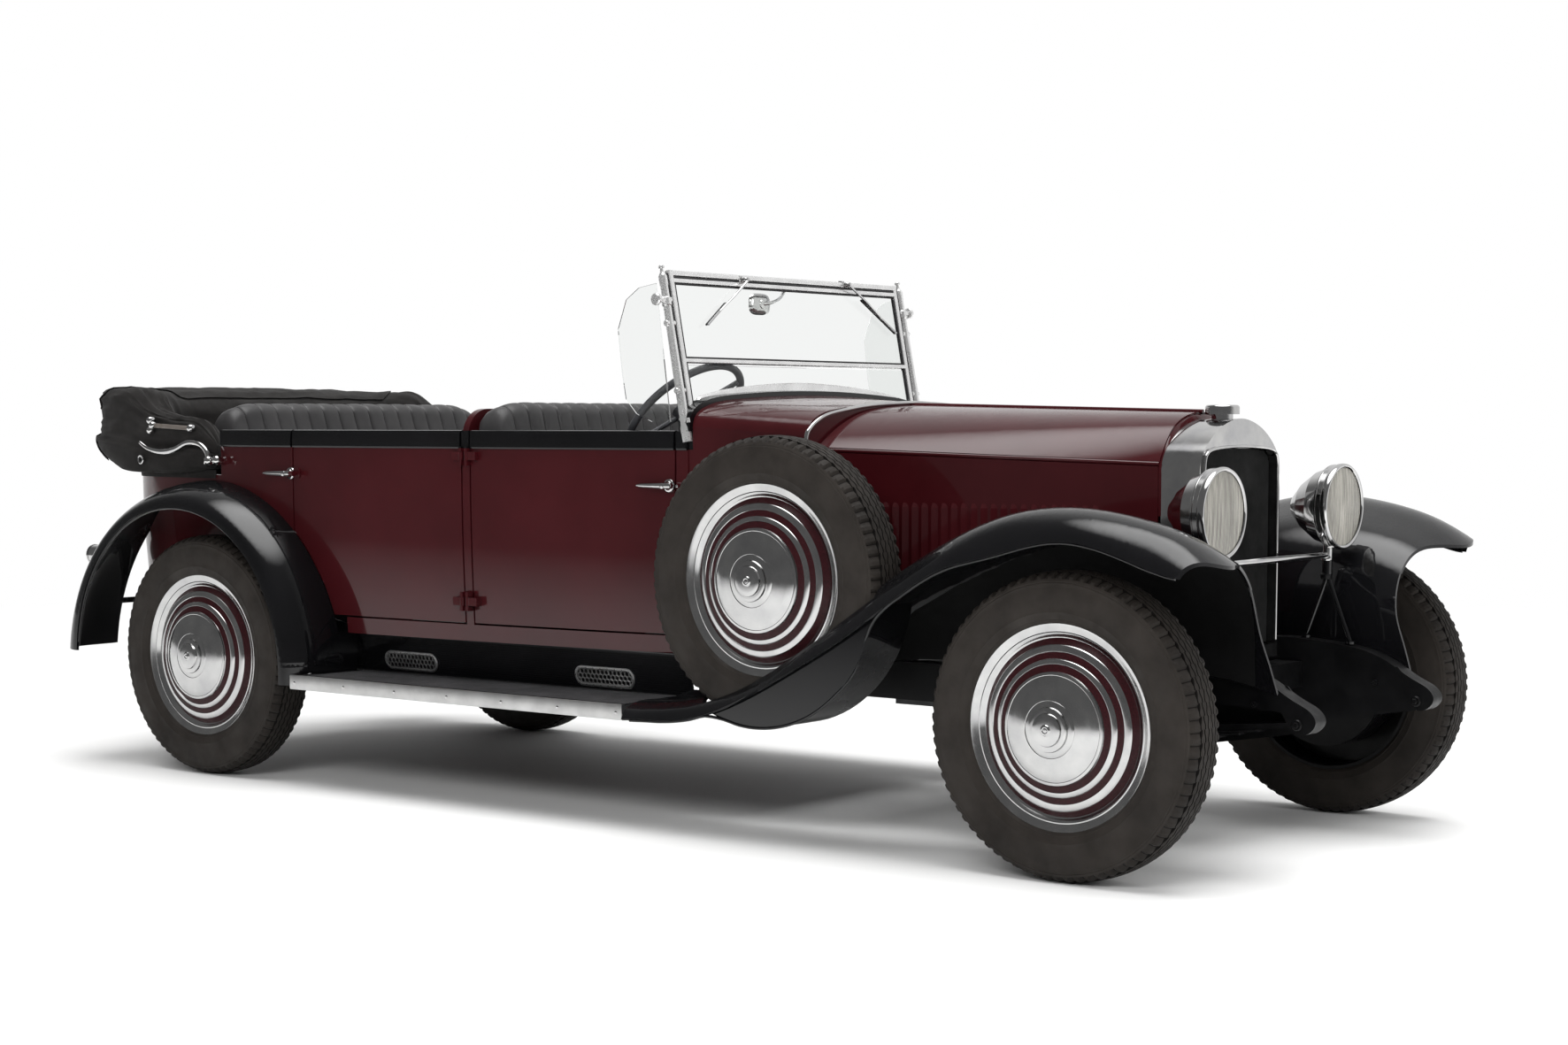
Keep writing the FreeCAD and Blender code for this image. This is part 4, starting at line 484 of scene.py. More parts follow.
def placed(name, mesh, body, replaced=()):
    piece = bpy.data.objects.new(name, mesh)
    scene.collection.objects.link(piece)
    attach(piece, body)
    if replaced:
        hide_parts(*replaced)
    return piece


def eachSide(stage, make):
    for side, sign in sideSigns.items():
        make(side, sign)
    tell(stage)


def wayAt(path, index):
    return (path[min(index + 1, len(path) - 1)] - path[max(index - 1, 0)]).normalized()


def circle(centre, across, up, radius, count):
    turns = [2 * math.pi * index / count for index in range(count)]
    return [centre + across * (radius * math.cos(turn)) + up * (radius * math.sin(turn)) for turn in turns]


def frameFor(way):
    way = way.normalized()
    across = way.cross(upward if abs(way.z) < 0.9 else forward).normalized()
    return across, across.cross(way).normalized()


def smoothLine(points, steps=6, looped=False):
    # curve through the points, with that many steps between two of them
    points = [Vector(point) for point in points]
    count = len(points)
    line = []
    for index in range(count if looped else count - 1):
        places = range(index - 1, index + 3)
        one, two, three, four = [points[place % count] if looped else points[min(max(place, 0), count - 1)]
                                 for place in places]
        for t in (step / steps for step in range(steps)):
            line.append(0.5 * ((2 * two) + (three - one) * t + (2 * one - 5 * two + 4 * three - four) * t ** 2
                               + (3 * two - one - 3 * three + four) * t ** 3))
    return line if looped else line + [points[-1]]


def flipped(points):
    return [Vector((point[0], -point[1], point[2])) for point in points]


def rise(share):
    # smooth step from 0 to 1
    share = min(max(share, 0.0), 1.0)
    return share * share * (3 - 2 * share)


# Skins of the CAD nodes, for trim that lies on them

skins = {}


def hitOn(nodeName, start, way):
    if nodeName not in skins:
        data = nodes[nodeName].data
        skins[nodeName] = BVHTree.FromPolygons([point.co for point in data.vertices],
                                               [face.vertices for face in data.polygons])
    return skins[nodeName].ray_cast(start, way)[0]


def onSide(nodeName, x, z, sign):
    # outermost point of the node at that x and z, on that side of the car
    return hitOn(nodeName, Vector((x, 2.0 * sign, z)), Vector((0, -sign, 0)))


def fromMiddle(nodeName, x, z, sign):
    # first face met from the middle outwards, which is the inner one
    return hitOn(nodeName, Vector((x, 0, z)), Vector((0, sign, 0)))


# Wheel discs: polished and maroon rings round a domed hub cap. Lengths are from the wheel's
# centre plane outwards, and radii from the hub.

discSpec = {
    "outer": [(0.0520, 0.2645), (0.0575, 0.2680), (0.0615, 0.2720), (0.0640, 0.2725), (0.0655, 0.2705),
              (0.0650, 0.2670), (0.0625, 0.2610), (0.0590, 0.2540), (0.0575, 0.2500), (0.0582, 0.2470),
              (0.0560, 0.2430), (0.0515, 0.2385), (0.0490, 0.2350), (0.0485, 0.2330)],
    "rings": [(0.2330, 0.0485), (0.2170, 0.0615), (0.1970, 0.0670), (0.1810, 0.0725), (0.1660, 0.0780),
              (0.1490, 0.0845)],   # edges of painted and polished rings in turn: (radius, place)
    "ringRise": 0.0030,
    "dome": [(0.0865, 0.1480), (0.0895, 0.1470), (0.0912, 0.1440), (0.0918, 0.1400), (0.0912, 0.1385),
             (0.0924, 0.1370), (0.0980, 0.1150), (0.1030, 0.0950), (0.1068, 0.0800), (0.1076, 0.0755),
             (0.1070, 0.0745), (0.1080, 0.0735), (0.1100, 0.0700), (0.1112, 0.0650), (0.1118, 0.0600),
             (0.1122, 0.0592), (0.1180, 0.0572), (0.1192, 0.0540), (0.1196, 0.0490), (0.1200, 0.0440),
             (0.1250, 0.0418), (0.1262, 0.0380), (0.1272, 0.0300), (0.1278, 0.0200), (0.1280, 0.0150),
             (0.1302, 0.0130), (0.1312, 0.0090), (0.1302, 0.0064), (0.1314, 0.0046), (0.1316, 0.0)],
    "back": [(-0.0620, 0.2600), (-0.0625, 0.2700), (-0.0600, 0.2725), (-0.0560, 0.2718), (-0.0520, 0.2645),
             (-0.0420, 0.2560), (0.0300, 0.2560), (0.0430, 0.2640), (0.0520, 0.2645)],
    "lip": ((0.08, 0.6), (0.25, 0.95), (0.5, 1.0), (0.75, 0.95), (0.92, 0.6), (1.0, 0.0)),
    "spareBack": [(-0.052, 0.2560), (-0.03, 0.19), (-0.03, 0.0)],
    "drum": [(0.044, 0.2560), (0.046, 0.19), (-0.085, 0.19), (-0.085, 0.178), (-0.02, 0.178), (-0.02, 0.05),
             (-0.06, 0.05), (-0.06, 0.02)],
    "fins": (7, -0.075, 0.015),   # how many, the first one's place and their pitch
    "fin": ((0.0, 0.19), (0.0, 0.196), (0.005, 0.196), (0.005, 0.19)),
    "count": 144,
    "innerCount": 96,
}


def discProfile(spec):
    # profile and the finish of each band, from the rim inwards; painted and polished rings take turns
    profile = list(spec["outer"])
    names = ["discMetal"] * (len(profile) - 1)
    edges = spec["rings"]
    for index, ((outer, low), (inner, high)) in enumerate(zip(edges, edges[1:])):
        if index % 2 == 0:
            profile.append((high, inner))
            names.append("ringMaroon")
            continue
        for share, lift in spec["lip"]:
            profile.append((low + share * (high - low) + lift * spec["ringRise"],
                            outer + share * (inner - outer)))
            names.append("discMetal")
    return profile + spec["dome"], names + ["discMetal"] * len(spec["dome"])


def wheelDisc(name, nodeName, body, hub, side, spare=False):
    spec = discSpec
    shell = Shell()
    way = Vector((0, side, 0))
    profile, names = discProfile(spec)
    shell.turned(profile, hub, way, names, spec["count"])
    count, first, pitch = spec["fins"]
    fins = [[(first + fin * pitch + along, radius) for along, radius in spec["fin"]] for fin in range(count)]
    for profile in [spec["back"]] + ([spec["spareBack"]] if spare else [spec["drum"]] + fins):
        shell.turned(profile, hub, way, "gearBlack", spec["innerCount"])
    shell.piece(name, body, "wheel", 30.0, (nodeName,))


# Tyres: ribs with saw-edged grooves in the middle, notched shoulder blocks, lines on the walls

tyreSpec = {
    "pitches": 76,
    "crown": tyreRadius,
    "halfWidth": 0.079,
    "grooveDepth": 0.0065,
    "grooveWidth": 0.0042,
    "saw": 0.0020,
    "grooves": (-0.0405, -0.0255, -0.0095, 0.0095, 0.0255, 0.0405),
    "shoulder": 0.0625,   # half width of the tread
    "notchDepth": 0.0075,
    "drop": (0.0085, 2.4),   # fall of the tread at its shoulders, and its power
    "edge": ((0.0672, 0.25, 0.3925, 1.0), (0.0613, 0.0, tyreRadius - 0.0098, 1.0),
             (0.0585, 0.0, tyreRadius - 0.0080, 0.95)),   # offset, its share of a notch, radius, its share
    "ledge": (0.0520, 0.9),
    "pitchSteps": ((0.0, False, 1.0), (0.30, False, 1.0), (0.31, False, -1.0), (0.52, True, -1.0),
                   (0.60, True, -1.0), (0.99, False, 1.0)),   # share of a pitch, in a notch, way of the saw
    "notchStep": 3,
    "wall": [(0.0700, 0.3860), (0.0728, 0.3800), (0.0722, 0.3785), (0.0745, 0.3740), (0.0742, 0.3725),
             (0.0766, 0.3620), (0.0785, 0.3450), (0.0790, 0.3300), (0.0788, 0.3150), (0.0778, 0.3020),
             (0.0782, 0.3005), (0.0768, 0.2980), (0.0745, 0.2900), (0.0715, 0.2810), (0.0718, 0.2795),
             (0.0690, 0.2755), (0.0655, 0.2715), (0.0600, 0.2690)],
}


def crownAt(offset, spec):
    # the tread's radius, which falls towards its shoulders
    fall, power = spec["drop"]
    return spec["crown"] - fall * (abs(offset) / spec["shoulder"]) ** power


def tyreColumn(spec, notch, saw):
    # points across the tyre, as (offset, radius)
    low = spec["notchDepth"] if notch else 0.0
    ledge, ledgeShare = spec["ledge"]
    sides = []
    for edge in (-1, 1):
        part = [(edge * offset, radius) for offset, radius in reversed(spec["wall"])]
        part += [(edge * (offset - away * low), radius - low * share)
                 for offset, away, radius, share in spec["edge"]]
        sides.append(part + [(edge * ledge, crownAt(ledge, spec) - low * ledgeShare)])
    half = spec["grooveWidth"] / 2
    tread = []
    for index, groove in enumerate(spec["grooves"]):
        sway = spec["saw"] * saw * (1 if index % 2 else -1)
        for place, deep in ((-half, 0), (-half * 0.6, 1), (half * 0.6, 1), (half, 0)):
            depth = spec["grooveDepth"] * deep
            if abs(groove) > 0.04 and place * groove > 0 and notch and not deep:
                depth = spec["notchDepth"] * 0.8
            offset = groove + place + sway
            tread.append((offset, crownAt(offset, spec) - depth))
    return sides[0] + tread + sides[1][::-1]


def tyreMesh(spec):
    shell = Shell()
    steps = spec["pitchSteps"]
    made = []
    for pitch in range(spec["pitches"]):
        for share, notch, saw in steps:
            turn = 2 * math.pi * (pitch + share) / spec["pitches"]
            made.append(shell.row([(radius * math.sin(turn), offset, radius * math.cos(turn))
                                   for offset, radius in tyreColumn(spec, notch, saw)]))
    wallCount = len(spec["wall"])
    total = len(made[0])
    tread = range(wallCount - 1, total - wallCount)
    grooves = range(wallCount + 4, wallCount + 4 + 4 * len(spec["grooves"]))   # four points to a groove
    for number, (one, two) in enumerate(zip(made, made[1:] + made[:1])):
        for index in range(total - 1):
            inGroove = index in grooves and (index - grooves.start) % 4 != 3
            inNotch = number % len(steps) == spec["notchStep"] and index in tread and index not in grooves
            finish = "treadRubber" if index in tread else "tyreRubber"
            # painted shade: grooves and notches are coloured darker than the tread
            if inGroove or inNotch:
                finish = "grooveRubber"
            shell.band(one[index:index + 2], two[index:index + 2], finish)
    return shell.mesh("tyre", 28.0)


sharedTyre = tyreMesh(tyreSpec)
spareLow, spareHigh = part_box("spare_tyres")
wheels = []
for end in ("front", "rear"):
    for side, sign in sideSigns.items():
        label = "_%s_%s" % (end, side)
        wheels.append(("wheel" + label + "_disc", "wheel" + label, "wheel" + label, "tyre" + label + "_tread",
                       "tyre" + label, middle("tyre" + label), sign))
for side, sign in sideSigns.items():
    hub = Vector(((spareLow.x + spareHigh.x) / 2, sign * (spareHigh.y - tyreSpec["halfWidth"]),
                  (spareLow.z + spareHigh.z) / 2))
    wheels.append(("spare_disc_" + side, "spare_wheels", "chassis", "spare_tread_" + side,
                   "spare_tyres", hub, sign))
for discName, discNode, body, treadName, tyreNode, hub, sign in wheels:
    wheelDisc(discName, discNode, body, hub, sign, spare=body == "chassis")
    placed(treadName, sharedTyre, body, (tyreNode,)).location = hub
tell("wheels and tyres")


# Seats: pleated leather over soft pads. A profile point is (x, depth of the pleats there, z).

seatSpec = {
    "pleat": 0.070,
    "groove": 0.0062,
    "shares": (0.0, 0.03, 0.07, 0.15, 0.30, 0.50, 0.70, 0.85, 0.93, 0.97),   # rows across each pleat
    "endRound": 0.030,
    "corner": 0.15,    # how far from its end a back's top starts to fall
    "thick": 0.108,
    "restUp": 0.132,
    "cushionHigh": 0.128,
    "cushionIn": 0.040,
    "seats": {"front_seat": (0.156, 0.0, 0.046, 0.060, 0.418),     # back's place, top, lean and fall,
              "rear_seat": (0.170, 0.003, 0.060, 0.070, 0.540)},   # and the cushion's length
    "waves": (9, 0.0025),   # of the leather: how fine, how high
}


def restProfile(front, low, top, lean, thick):
    # front face, rolled top and plain back
    return [(front, 0.2, low), (front + 0.010, 1, low + 0.06), (front - lean * 0.30, 1, low + 0.17),
            (front - lean * 0.75, 1, top - 0.070), (front - lean - 0.006, 1, top - 0.020),
            (front - lean - thick * 0.42, 1, top), (front - lean - thick * 0.85, 0.6, top - 0.018),
            (front - lean - thick, 0.1, top - 0.070), (front - lean * 0.5 - thick, 0, low + 0.15),
            (front - thick, 0, low), (front - thick * 0.5, 0, low - 0.002)]


def cushionProfile(front, back, low, top):
    return [(front, 0.2, low), (front + 0.004, 1, low + 0.05), (front - 0.004, 1, top - 0.030),
            (front - 0.050, 1, top), (front - 0.180, 1, top + 0.006), (back + 0.150, 1, top - 0.010),
            (back + 0.020, 1, top - 0.022), (back, 0.2, top - 0.060), (back, 0, low),
            ((front + back) / 2, 0, low - 0.001)]


def outwardOf(before, after, point, centreX, centreZ):
    # unit normal of a closed outline in x and z, away from its centre
    normal = Vector((after.z - before.z, 0, before.x - after.x)).normalized()
    return -normal if normal.dot(Vector((point.x - centreX, 0, point.z - centreZ))) < 0 else normal


def rounded(inside, reach):
    # height of a quarter circle at that distance from the end, as a share
    return math.sqrt(max(0.0, 1 - (1 - inside / reach) ** 2))


def pleatedPad(name, profile, start, end, fall):
    # closed pad across the car; its pleats run along the profile and its ends are rounded
    spec = seatSpec
    outline = smoothLine(profile, 7, looped=True)
    middleX = sum(point.x for point in outline) / len(outline)
    middleZ = sum(point.z for point in outline) / len(outline)
    fine, tall = spec["waves"]
    count = max(3, round((end - start) / spec["pleat"]))
    shares = [(pleat + share) / count for pleat in range(count) for share in spec["shares"]] + [1.0]
    rows = []
    for share in shares:
        y = start + share * (end - start)
        inside = min(y - start, end - y)
        shrink = 0.55 + 0.45 * rounded(inside, spec["endRound"]) if inside < spec["endRound"] else 1.0
        drop = fall * (1 - rounded(inside, spec["corner"])) if inside < spec["corner"] else 0.0
        offLobe = abs(2 * ((share * count) % 1.0) - 1)
        groove = spec["groove"] * (0.75 * offLobe ** 9 + 0.25 * offLobe ** 2) * min(1.0, inside / 0.02)
        row = []
        for index, point in enumerate(outline):
            away = outwardOf(outline[index - 1], outline[(index + 1) % len(outline)], point, middleX, middleZ)
            wave = tall * noise.noise(Vector((point.x, y, point.z)) * fine)
            lift = wave - groove * max(0.0, point.y)
            z = middleZ + (point.z - middleZ) * shrink + away.z * lift
            z -= drop * rise((point.z - middleZ) / max(profile[5][2] - middleZ, 0.01))
            row.append(Vector((middleX + (point.x - middleX) * shrink + away.x * lift, y, z)))
        rows.append(row)
    shell = Shell()
    shell.solid(rows, "blackLeather")
    return shell.mesh(name, 50.0)


def makeSeats(spec):
    for nodeName, (place, topUp, lean, fall, length) in spec["seats"].items():
        low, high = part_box(nodeName)
        rest = restProfile(low.x + place, low.z + spec["restUp"], high.z + topUp, lean, spec["thick"])
        cushion = cushionProfile(high.x, high.x - length, low.z, low.z + spec["cushionHigh"])
        for kind, profile, inset, drop in (("_rest", rest, 0.0, fall),
                                           ("_cushion", cushion, spec["cushionIn"], 0.0)):
            mesh = pleatedPad(nodeName + kind, profile, low.y + inset, high.y - inset, drop)
            pad = placed(nodeName + kind, mesh, "chassis", (nodeName,))


makeSeats(seatSpec)
tell("seats")


# Folded hood in its cover. A station is (back, out) of the outer and of the inner edge, both in
# metres from the front axle and the middle, and the bottom's and the top's height.

hoodSpec = {
    "stations": [
        ((3.466, 0.700), (3.470, 0.668), 1.052, 1.112), ((3.490, 0.712), (3.496, 0.640), 1.034, 1.150),
        ((3.560, 0.718), (3.560, 0.622), 1.026, 1.200), ((3.700, 0.720), (3.690, 0.612), 1.018, 1.218),
        ((3.830, 0.720), (3.775, 0.600), 1.016, 1.246), ((3.950, 0.718), (3.830, 0.570), 1.016, 1.306),
        ((4.060, 0.710), (3.852, 0.500), 1.030, 1.314), ((4.165, 0.672), (3.860, 0.430), 1.052, 1.308),
        ((4.220, 0.580), (3.862, 0.340), 1.062, 1.308), ((4.234, 0.440), (3.862, 0.250), 1.060, 1.312),
        ((4.235, 0.220), (3.862, 0.120), 1.055, 1.314), ((4.235, 0.000), (3.862, 0.000), 1.055, 1.314),
    ],
    "section": [(0.17, 0.00), (0.05, 0.14), (0.00, 0.31), (0.045, 0.45), (0.058, 0.62), (0.052, 0.80),
                (0.085, 0.955), (0.28, 1.0), (0.55, 0.985), (0.80, 0.93), (0.96, 0.74), (1.0, 0.45),
                (0.97, 0.12), (0.85, 0.0), (0.45, -0.01)],
    "steps": 10,
    "coverEdge": [(0.0, 0.30), (0.2, 0.315), (0.5, 0.345), (0.8, 0.32), (1.0, 0.285)],   # (height, way along)
    "coverAway": (0.0030, 0.0062),
    "coverSteps": 90,
}


def foldsAt(along, height, seed):
    # long creases that follow the bundle, and finer ones across them
    long = 1 - abs(noise.noise(Vector((along * 1.6, height * 6.0, seed)))) * 2.6
    cross = 1 - abs(noise.noise(Vector((along * 7.0 + height * 3.0, height * 2.5, seed + 4.0)))) * 2.8
    return 0.0075 * max(long, -0.4) + 0.0035 * max(cross, -0.3)


def hoodSurface(spec):
    # rings of the folded hood from its right front end round the back to the left one
    outerLine = [Vector((behind(back), -out, bottom)) for (back, out), inner, bottom, top in spec["stations"]]
    innerLine = [Vector((behind(back), -out, top)) for outer, (back, out), bottom, top in spec["stations"]]
    outerLine = smoothLine(outerLine + flipped(reversed(outerLine[:-1])), spec["steps"])
    innerLine = smoothLine(innerLine + flipped(reversed(innerLine[:-1])), spec["steps"])
    section = smoothLine([Vector((out, 0, high)) for out, high in spec["section"]], 5, looped=True)
    rings = []
    travel = 0.0
    for index, (outer, inner) in enumerate(zip(outerLine, innerLine)):
        if index:
            travel += (outer - outerLine[index - 1]).length
        flat = Vector((inner.x - outer.x, inner.y - outer.y, 0))
        away = flat.normalized()
        edge = min(1.0, index / 8, (len(outerLine) - 1 - index) / 8)
        ring = []
        for place, point in enumerate(section):
            normal = outwardOf(section[place - 1], section[(place + 1) % len(section)], point, 0.5, 0.5)
            lift = (foldsAt(travel, point.z + 2.0 * point.x, 3.0) - 0.008) * edge
            where = outer + flat * point.x + Vector((0, 0, (inner.z - outer.z) * point.z))
            ring.append(where + away * (normal.x * lift) + Vector((0, 0, normal.z * lift)))
        rings.append(ring)
    return rings, section


def between(rings, row, place):
    low = min(int(row), len(rings) - 2)
    return rings[low][place].lerp(rings[low + 1][place], row - low)


def surfaceNormal(rings, row, place):
    last = len(rings) - 1
    along = between(rings, min(row + 0.5, last), place) - between(rings, max(row - 0.5, 0), place)
    around = between(rings, row, (place + 1) % len(rings[0])) - between(rings, row, place - 1)
    return along.cross(around).normalized()


def coverStart(spec, height):
    # where the cover's edge runs at that height, as a share of the way along
    height = min(max(height, 0.0), 1.0)
    for (low, start), (high, end) in zip(spec["coverEdge"], spec["coverEdge"][1:]):
        if height <= high:
            return start + (end - start) * rise((height - low) / (high - low))
    return spec["coverEdge"][-1][1]


def makeHood(spec):
    rings, section = hoodSurface(spec)
    shell = Shell()
    shell.solid(rings, "hoodCloth")
    rowCount = len(rings) - 1
    outside = [place for place, point in enumerate(section) if point.x < 0.9 and point.z > 0.02]
    sheet = []
    for away in spec["coverAway"]:
        layer = []
        for step in range(spec["coverSteps"] + 1):
            line = []
            for place in outside:
                start = rowCount * coverStart(spec, section[place].z)
                row = start + (rowCount - 2 * start) * step / spec["coverSteps"]
                normal = surfaceNormal(rings, row, place)
                base = between(rings, row, place)
                centre = between(rings, row, outside[len(outside) // 2])
                if normal.dot(base - centre - Vector((0, 0, -0.12))) < 0:
                    normal = -normal
                line.append(base + normal * away)
            layer.append(line)
        sheet.append(layer)
    shell.solid([under + list(reversed(over)) for under, over in zip(*sheet)], "hoodCloth")
    hood = shell.piece("hood_folded", "chassis", "hood_cloth", 60.0, ("hood_bag",))


makeHood(hoodSpec)
tell("hood")


# Belt rail's rounded moulding on doors and body. A section point is (outwards, up) from its foot.

beltSpec = {
    "foot": 1.1085,
    "probe": 1.135,
    "section": [(-0.0040, 0.0), (0.0010, 0.0004), (0.0022, 0.0030), (0.0026, 0.0070), (0.0018, 0.0400),
                (0.0012, 0.0480), (-0.0006, 0.0535), (-0.0040, 0.0565), (-0.0090, 0.0578), (-0.0150, 0.0582),
                (-0.0150, 0.0500), (-0.0060, 0.0400)],
    "step": 0.03,
    "quarterEnd": -2.16,   # where the body turns in at the back
    "doorBand": (0.05, 0.03),   # a door's ends are read at that height over the foot, give or take
    "over": 1.11,
    "gap": 0.009,
}


def beltRail(name, nodeName, body, sign, start, end):
    spec = beltSpec
    rows = []
    for x in spread(start, end, max(2, round(abs(end - start) / spec["step"]))):
        face = onSide(nodeName, x, spec["probe"], sign)
        if face is not None:
            rows.append([Vector((x, face.y + sign * out, spec["foot"] + high))
                         for out, high in spec["section"]])
    shell = Shell()
    shell.solid(rows, "blackPaint")
    shell.piece(name, body, "black_paint", 40.0)


def beltRails(side, sign):
    spec = beltSpec
    up, room = spec["doorBand"]
    tops = []
    for end in ("front", "rear"):
        door = "door_%s_%s" % (end, side)
        points = [vertex.co for vertex in nodes[door].data.vertices]
        edges = [point.x for point in points if abs(point.z - spec["foot"] - up) < room]
        beltRail("belt_" + door, door, door, sign, min(edges) + 0.001, max(edges) - 0.001)
        tops.append([point.x for point in points if point.z > spec["over"]])
    beltRail("belt_quarter_" + side, "body_tub", "chassis", sign, spec["quarterEnd"],
             min(tops[1]) - spec["gap"])
    beltRail("belt_scuttle_" + side, "body_tub", "chassis", sign, max(tops[0]) + spec["gap"],
             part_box("body_tub")[1].x - 0.002)


eachSide("belt rails", beltRails)


# Door handles over the CAD's levers, and the keyholes beside them

handleSpec = {
    "front": {"back": 1.503, "z": 1.003},
    "rear": {"back": 3.119, "z": 1.022},
    "plate": [(-0.003, 0.0205), (0.0030, 0.0205), (0.0052, 0.0190), (0.0062, 0.0150), (0.0085, 0.0125),
              (0.0150, 0.0105), (0.0200, 0.0098), (0.0340, 0.0098), (0.0375, 0.0085), (0.0390, 0.0)],
    "lever": [(0.022, 0.0060), (0.020, 0.0088), (0.012, 0.0104), (-0.010, 0.0100), (-0.050, 0.0084),
              (-0.085, 0.0070), (-0.097, 0.0066), (-0.110, 0.0048), (-0.1175, 0.0024)],
    "leverOut": 0.0280,
    "neck": 0.014,
    "near": (0.03, -0.16, 0.05),   # where the CAD's lever is looked for, round the place above
    "lock": (0.030, 0.0042),       # keyhole's place ahead of the pivot, and its radius
}


def doorHandles(side, sign):
    spec = handleSpec
    room, back, front = spec["near"]
    out = Vector((0, sign, 0))
    for end in ("front", "rear"):
        door = "door_%s_%s" % (end, side)
        middleX = behind(spec[end]["back"])
        cloud = [vertex.co for vertex in nodes[door].data.vertices
                 if abs(vertex.co.z - spec[end]["z"]) < room and back < vertex.co.x - middleX < front]
        reach = max(abs(point.y) for point in cloud)
        shaft = [point for point in cloud if abs(point.y) > reach - 0.012]
        level = (min(point.z for point in shaft) + max(point.z for point in shaft)) / 2
        leverFront = max(point.x for point in shaft)
        pivotX = leverFront - spec["neck"]
        axis = reach - 0.009
        plateY = axis - spec["leverOut"]
        shell = Shell()
        shell.turned(spec["plate"], Vector((pivotX, sign * plateY, level)), out, "nickel", 28)
        path = [Vector((leverFront + along - 0.004, sign * axis, level)) for along, radius in spec["lever"]]
        shell.rod(path, [radius for along, radius in spec["lever"]], "nickel", 14)
        away, radius = spec["lock"]
        lock = Vector((pivotX + away, sign * (plateY + 0.0005), level - 0.001))
        shell.bolt(lock, out, radius, 0.002, "nickel", 12)
        shell.piece("handle_" + end + "_" + side, door, "nickel", 40.0)


eachSide("handles", doorHandles)


# Running boards: ribbed rubber, polished edges and their screws

boardSpec = {
    "ribPitch": 0.0130,
    "ribHigh": 0.0016,
    "edge": [(-0.0120, 0.0010), (0.0, 0.0032), (0.0022, 0.0020), (0.0030, -0.0010), (0.0030, -0.0400),
             (0.0018, -0.0435), (-0.0020, -0.0445), (-0.0080, -0.0440), (-0.0080, -0.0425),
             (-0.0002, -0.0420), (-0.0002, 0.0002), (-0.0120, 0.0002)],   # (outwards, up) from its top edge
    "screwPitch": 0.24,
    "screw": (0.022, 0.0048, 0.0016),   # from the end and below the top, radius, height
    "innerStrip": 0.009,
    "innerSide": 0.5847,
    "matUp": 0.003,        # the mat stands that much above the board
    "matIn": 0.014,
    "matEnds": (0.088, 0.002),
    "rib": ((0.05, 0.0), (0.2, 1.0), (0.55, 1.0), (0.7, 0.0)),   # (share of the pitch, of the height)
}


def runningBoard(side, sign):
    spec = boardSpec
    low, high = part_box("running_boards")
    top = high.z - spec["matUp"]
    outer, inner = high.y, spec["innerSide"]
    shell = Shell()
    strip = [(0.0, 0.0002), (0.0, 0.0042), (spec["innerStrip"], 0.0036), (spec["innerStrip"], 0.0002)]
    for edge, section in ((outer, spec["edge"]), (inner, strip)):
        shell.solid([[Vector((x, sign * (edge + out), top + up)) for out, up in section]
                     for x in (low.x, high.x)], "edgeMetal")
    inset, radius, tall = spec["screw"]
    for x in spread(low.x + inset, high.x - inset, int((high.x - low.x) / spec["screwPitch"])):
        screw = Vector((x, sign * (outer + 0.0028), top - inset))
        shell.bolt(screw, Vector((0, sign, 0)), radius, tall, "nickel", 12)
    shell.piece("board_edges_" + side, "chassis", "nickel", 35.0)
    start, end = low.x + spec["matEnds"][0], high.x - spec["matEnds"][1]
    matInner, matOuter = inner + spec["matIn"], outer - spec["matIn"]
    face, foot = high.z + 0.0004, high.z - 0.002
    ribs = int((matOuter - matInner) / spec["ribPitch"])
    line = [(y + share * spec["ribPitch"], face + lift * spec["ribHigh"])
            for y in spread(matInner, matOuter, ribs)[:-1] for share, lift in spec["rib"]]
    line = [(matInner, face)] + line + [(matOuter, face), (matOuter, foot), (matInner, foot)]
    mat = Shell()
    mat.solid([[Vector((x, sign * y, z)) for y, z in line] for x in (start, end)], "matRubber")
    mat.piece("board_ribs_" + side, "chassis", "black_paint", 20.0)


eachSide("running boards", runningBoard)


# Vents in the splash aprons: a riveted bright rim round a honeycomb

ventSpec = {
    "places": (1.784, 2.634),   # behind the front axle
    "z": 0.411,
    "length": 0.244,
    "height": 0.062,
    "rim": 0.0085,
    "out": 0.0054,
    "cell": 0.0168,
    "wire": 0.0021,
    "rivets": 18,
    "rivet": (0.0021, 0.0012),
    "count": 96,
    "frame": ((-0.0012, 0.001), (-0.0012, 0.0042), (0.0008, 0.0056), (0.0065, 0.0056), (0.0085, 0.0045),
              (0.0085, 0.0008)),   # (inset, height) of the rim's section
    "comb": ((0.0, 0.0020), (1.2, 0.0034), (2.0, 0.0010)),   # (wires' widths off a cell, height)
    "rows": 3,
    "columns": 9,
}


def stadiumPoint(length, height, share):
    # point of a long rounded outline, at that share of the way round
    straight = length - height
    bend = math.pi * height / 2
    travel = share * 2 * (straight + bend)
    half = 1 if travel < straight + bend else -1
    travel -= 0 if half > 0 else straight + bend
    if travel < straight:
        return half * (travel - straight / 2), -half * height / 2
    turn = (travel - straight) / (height / 2)
    return half * (straight / 2 + math.sin(turn) * height / 2), -half * math.cos(turn) * height / 2


def clampedIn(x, z, length, height):
    # the point itself, or the nearest one on the rounded outline, and how far out it lies
    reach = (length - height) / 2
    flat = max(-reach, min(reach, x))
    off = math.hypot(x - flat, z)
    limit = height / 2
    if off > limit:
        x, z = flat + (x - flat) * limit / off, z * limit / off
    return x, z, off / limit


